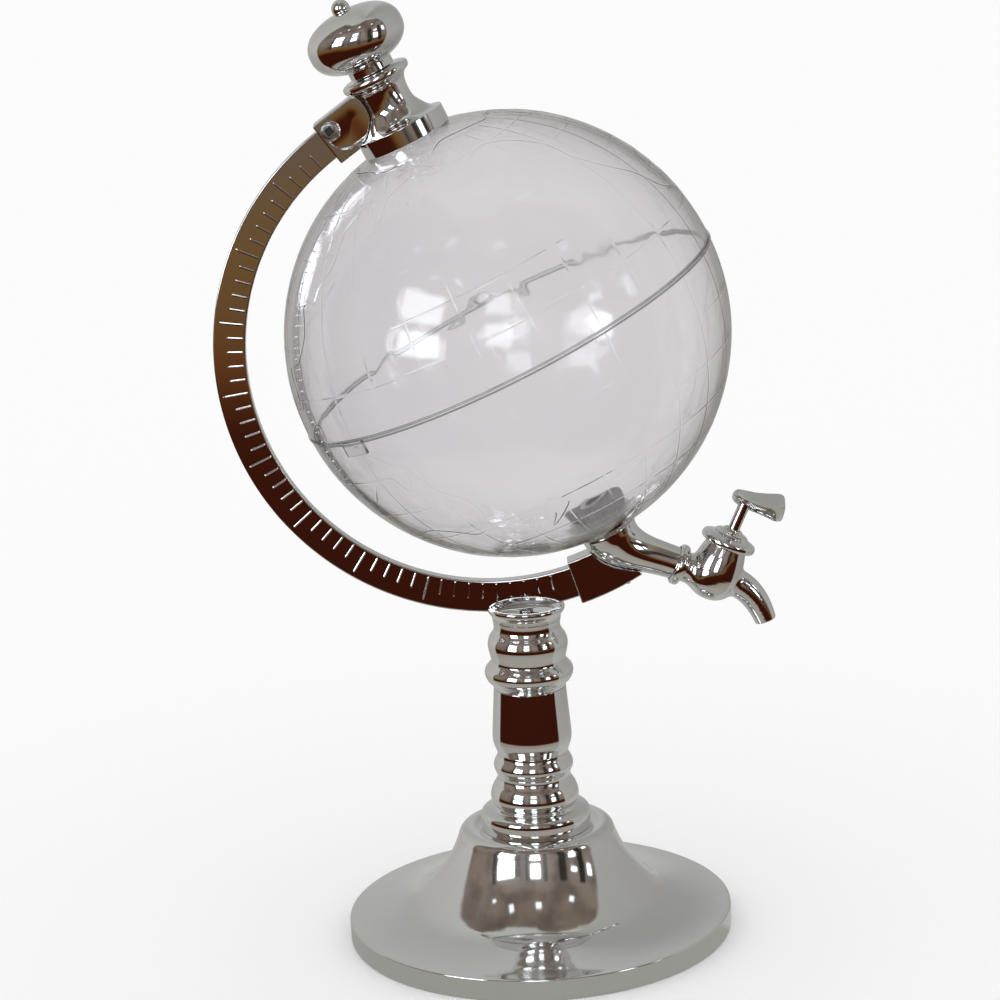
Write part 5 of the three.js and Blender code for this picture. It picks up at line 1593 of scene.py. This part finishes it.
def room_world():
    """What lights the scene: plain white light, and the room that metal mirrors."""
    world = bpy.data.worlds.new("room")
    world.use_nodes = True
    graph = Graph(world.node_tree)
    way = graph.node("ShaderNodeTexCoord").outputs["Generated"]
    x, y, z = graph.node("ShaderNodeSeparateXYZ", {0: way}).outputs
    around = azimuth_of(graph, x, y)
    azimuth = graph.math("MULTIPLY_ADD", around, 360.0, -180.0)
    elevation = graph.math("MULTIPLY", graph.math("ARCSINE", z), math.degrees(1))
    upward = graph.math("MULTIPLY_ADD", elevation, 1 / 180, 0.5)

    def by_height(rows):
        return graph.ramp(upward, [((angle + 90) / 180, tone(*color)) for angle, color in rows])

    folds = graph.noise(FOLD_SCALE, 3, place=way)
    roof = graph.math("MULTIPLY_ADD", by_azimuth(graph, around, ROOF_SHARES), 90.0,
                      graph.scaled_to(folds, -ROOF_SAG, ROOF_SAG))
    above = graph.math("DIVIDE", graph.math("SUBTRACT", elevation, roof), ROOF_EDGE, clamped=True)
    tent = graph.math("MAXIMUM", by_azimuth(graph, around, TENT_SHARES), above)
    blotches = graph.stretched(graph.noise(BLOTCH_SCALE, 3, place=way), 0.36, 0.64)
    blotches = graph.scaled_to(blotches, 0.72, 1.2)
    inside = graph.vector("SCALE", by_height(ROOM_ROWS), scale=blotches)
    room = graph.mixed(tent, inside, by_height(TENT_ROWS))
    room = graph.mixed(by_azimuth(graph, around, BACK_SHARES), room, by_height(BACK_ROWS))
    room = graph.vector("MULTIPLY", room, by_azimuth(graph, around, SIDE_SHARES))
    for *area, share, edge in CURTAINS:
        kept = graph.math("MULTIPLY_ADD", pane(graph, azimuth, elevation, *area, edge), -share, 1.0)
        room = graph.vector("SCALE", room, scale=kept)
    light = 0.0
    for *area, strength, edge in WINDOWS:
        shown = pane(graph, azimuth, elevation, *area, edge)
        light = graph.math("MULTIPLY_ADD", shown, float(strength), light)
    lit = graph.vector("ADD", room, graph.vector("SCALE", WINDOW_TINT, scale=light))
    beyond_glass = graph.mixed(mirror_seen(graph), (*tone(*BACKDROP), 1), lit)
    shown = graph.mixed(graph.path("Is Glossy Ray"), (1, 1, 1, 1), beyond_glass)
    background = graph.node("ShaderNodeBackground", {"Color": shown, "Strength": 1.0})
    graph.node("ShaderNodeOutputWorld", {"Surface": background.outputs[0]})
    bpy.context.scene.world = world


def floor():
    """A white floor. Polished metal mirrors only the part near the object, as a grey table."""
    half = FLOOR_SIZE / 2
    mesh = bpy.data.meshes.new("floor")
    corners = [(x * half, y * half, -FLOOR_DROP) for x, y in ((-1, -1), (1, -1), (1, 1), (-1, 1))]
    mesh.from_pydata(corners, [], [(0, 1, 2, 3)])
    made = placed("floor", mesh)
    material = bpy.data.materials.new("floor")
    material.use_nodes = True
    graph = Graph(material.node_tree)
    place = graph.node("ShaderNodeNewGeometry").outputs["Position"]
    x, y, _ = graph.node("ShaderNodeSeparateXYZ", {0: place}).outputs
    reach = graph.vector("LENGTH", graph.vector("MULTIPLY", place, (1, 1, 0)))
    behind = by_azimuth(graph, azimuth_of(graph, x, y), TENT_SHARES)
    fade = graph.math("MULTIPLY", graph.stretched(reach, *CLOTH_FADE), behind)
    beyond = graph.math("MAXIMUM", graph.math("GREATER_THAN", reach, WOOD_REACH), fade)
    beyond = graph.math("MAXIMUM", graph.math("SUBTRACT", 1.0, mirror_seen(graph)), beyond)
    rows = CLOTH_ROWS + WOOD_ROWS
    front = graph.ramp(graph.math("DIVIDE", reach, WOOD_REACH), [(r / WOOD_REACH, tone(*c)) for r, c in rows])
    color = graph.mixed(behind, front, (*tone(*CLOTH), 1))
    white = graph.node("ShaderNodeBsdfDiffuse", {"Color": (*grey(0.97), 1)})
    table = graph.node("ShaderNodeEmission", {"Color": color})
    open_air = graph.node("ShaderNodeBsdfTransparent")
    graph.output(graph.either(graph.path("Is Glossy Ray"), white, graph.either(beyond, table, open_air)))
    mesh.materials.append(material)


def camera():
    data = bpy.data.cameras.new("camera")
    data.lens = CAMERA_LENS
    data.sensor_width = CAMERA_SENSOR
    made = placed("camera", data)
    pitch = Matrix.Rotation(math.radians(90 - CAMERA_PITCH), 4, "X")
    roll = Matrix.Rotation(math.radians(-CAMERA_ROLL), 4, "Z")
    made.matrix_world = Matrix.Translation(CAMERA_PLACE) @ pitch @ roll
    bpy.context.scene.camera = made


room_world()
floor()
camera()
bpy.context.scene.view_settings.view_transform = "Standard"
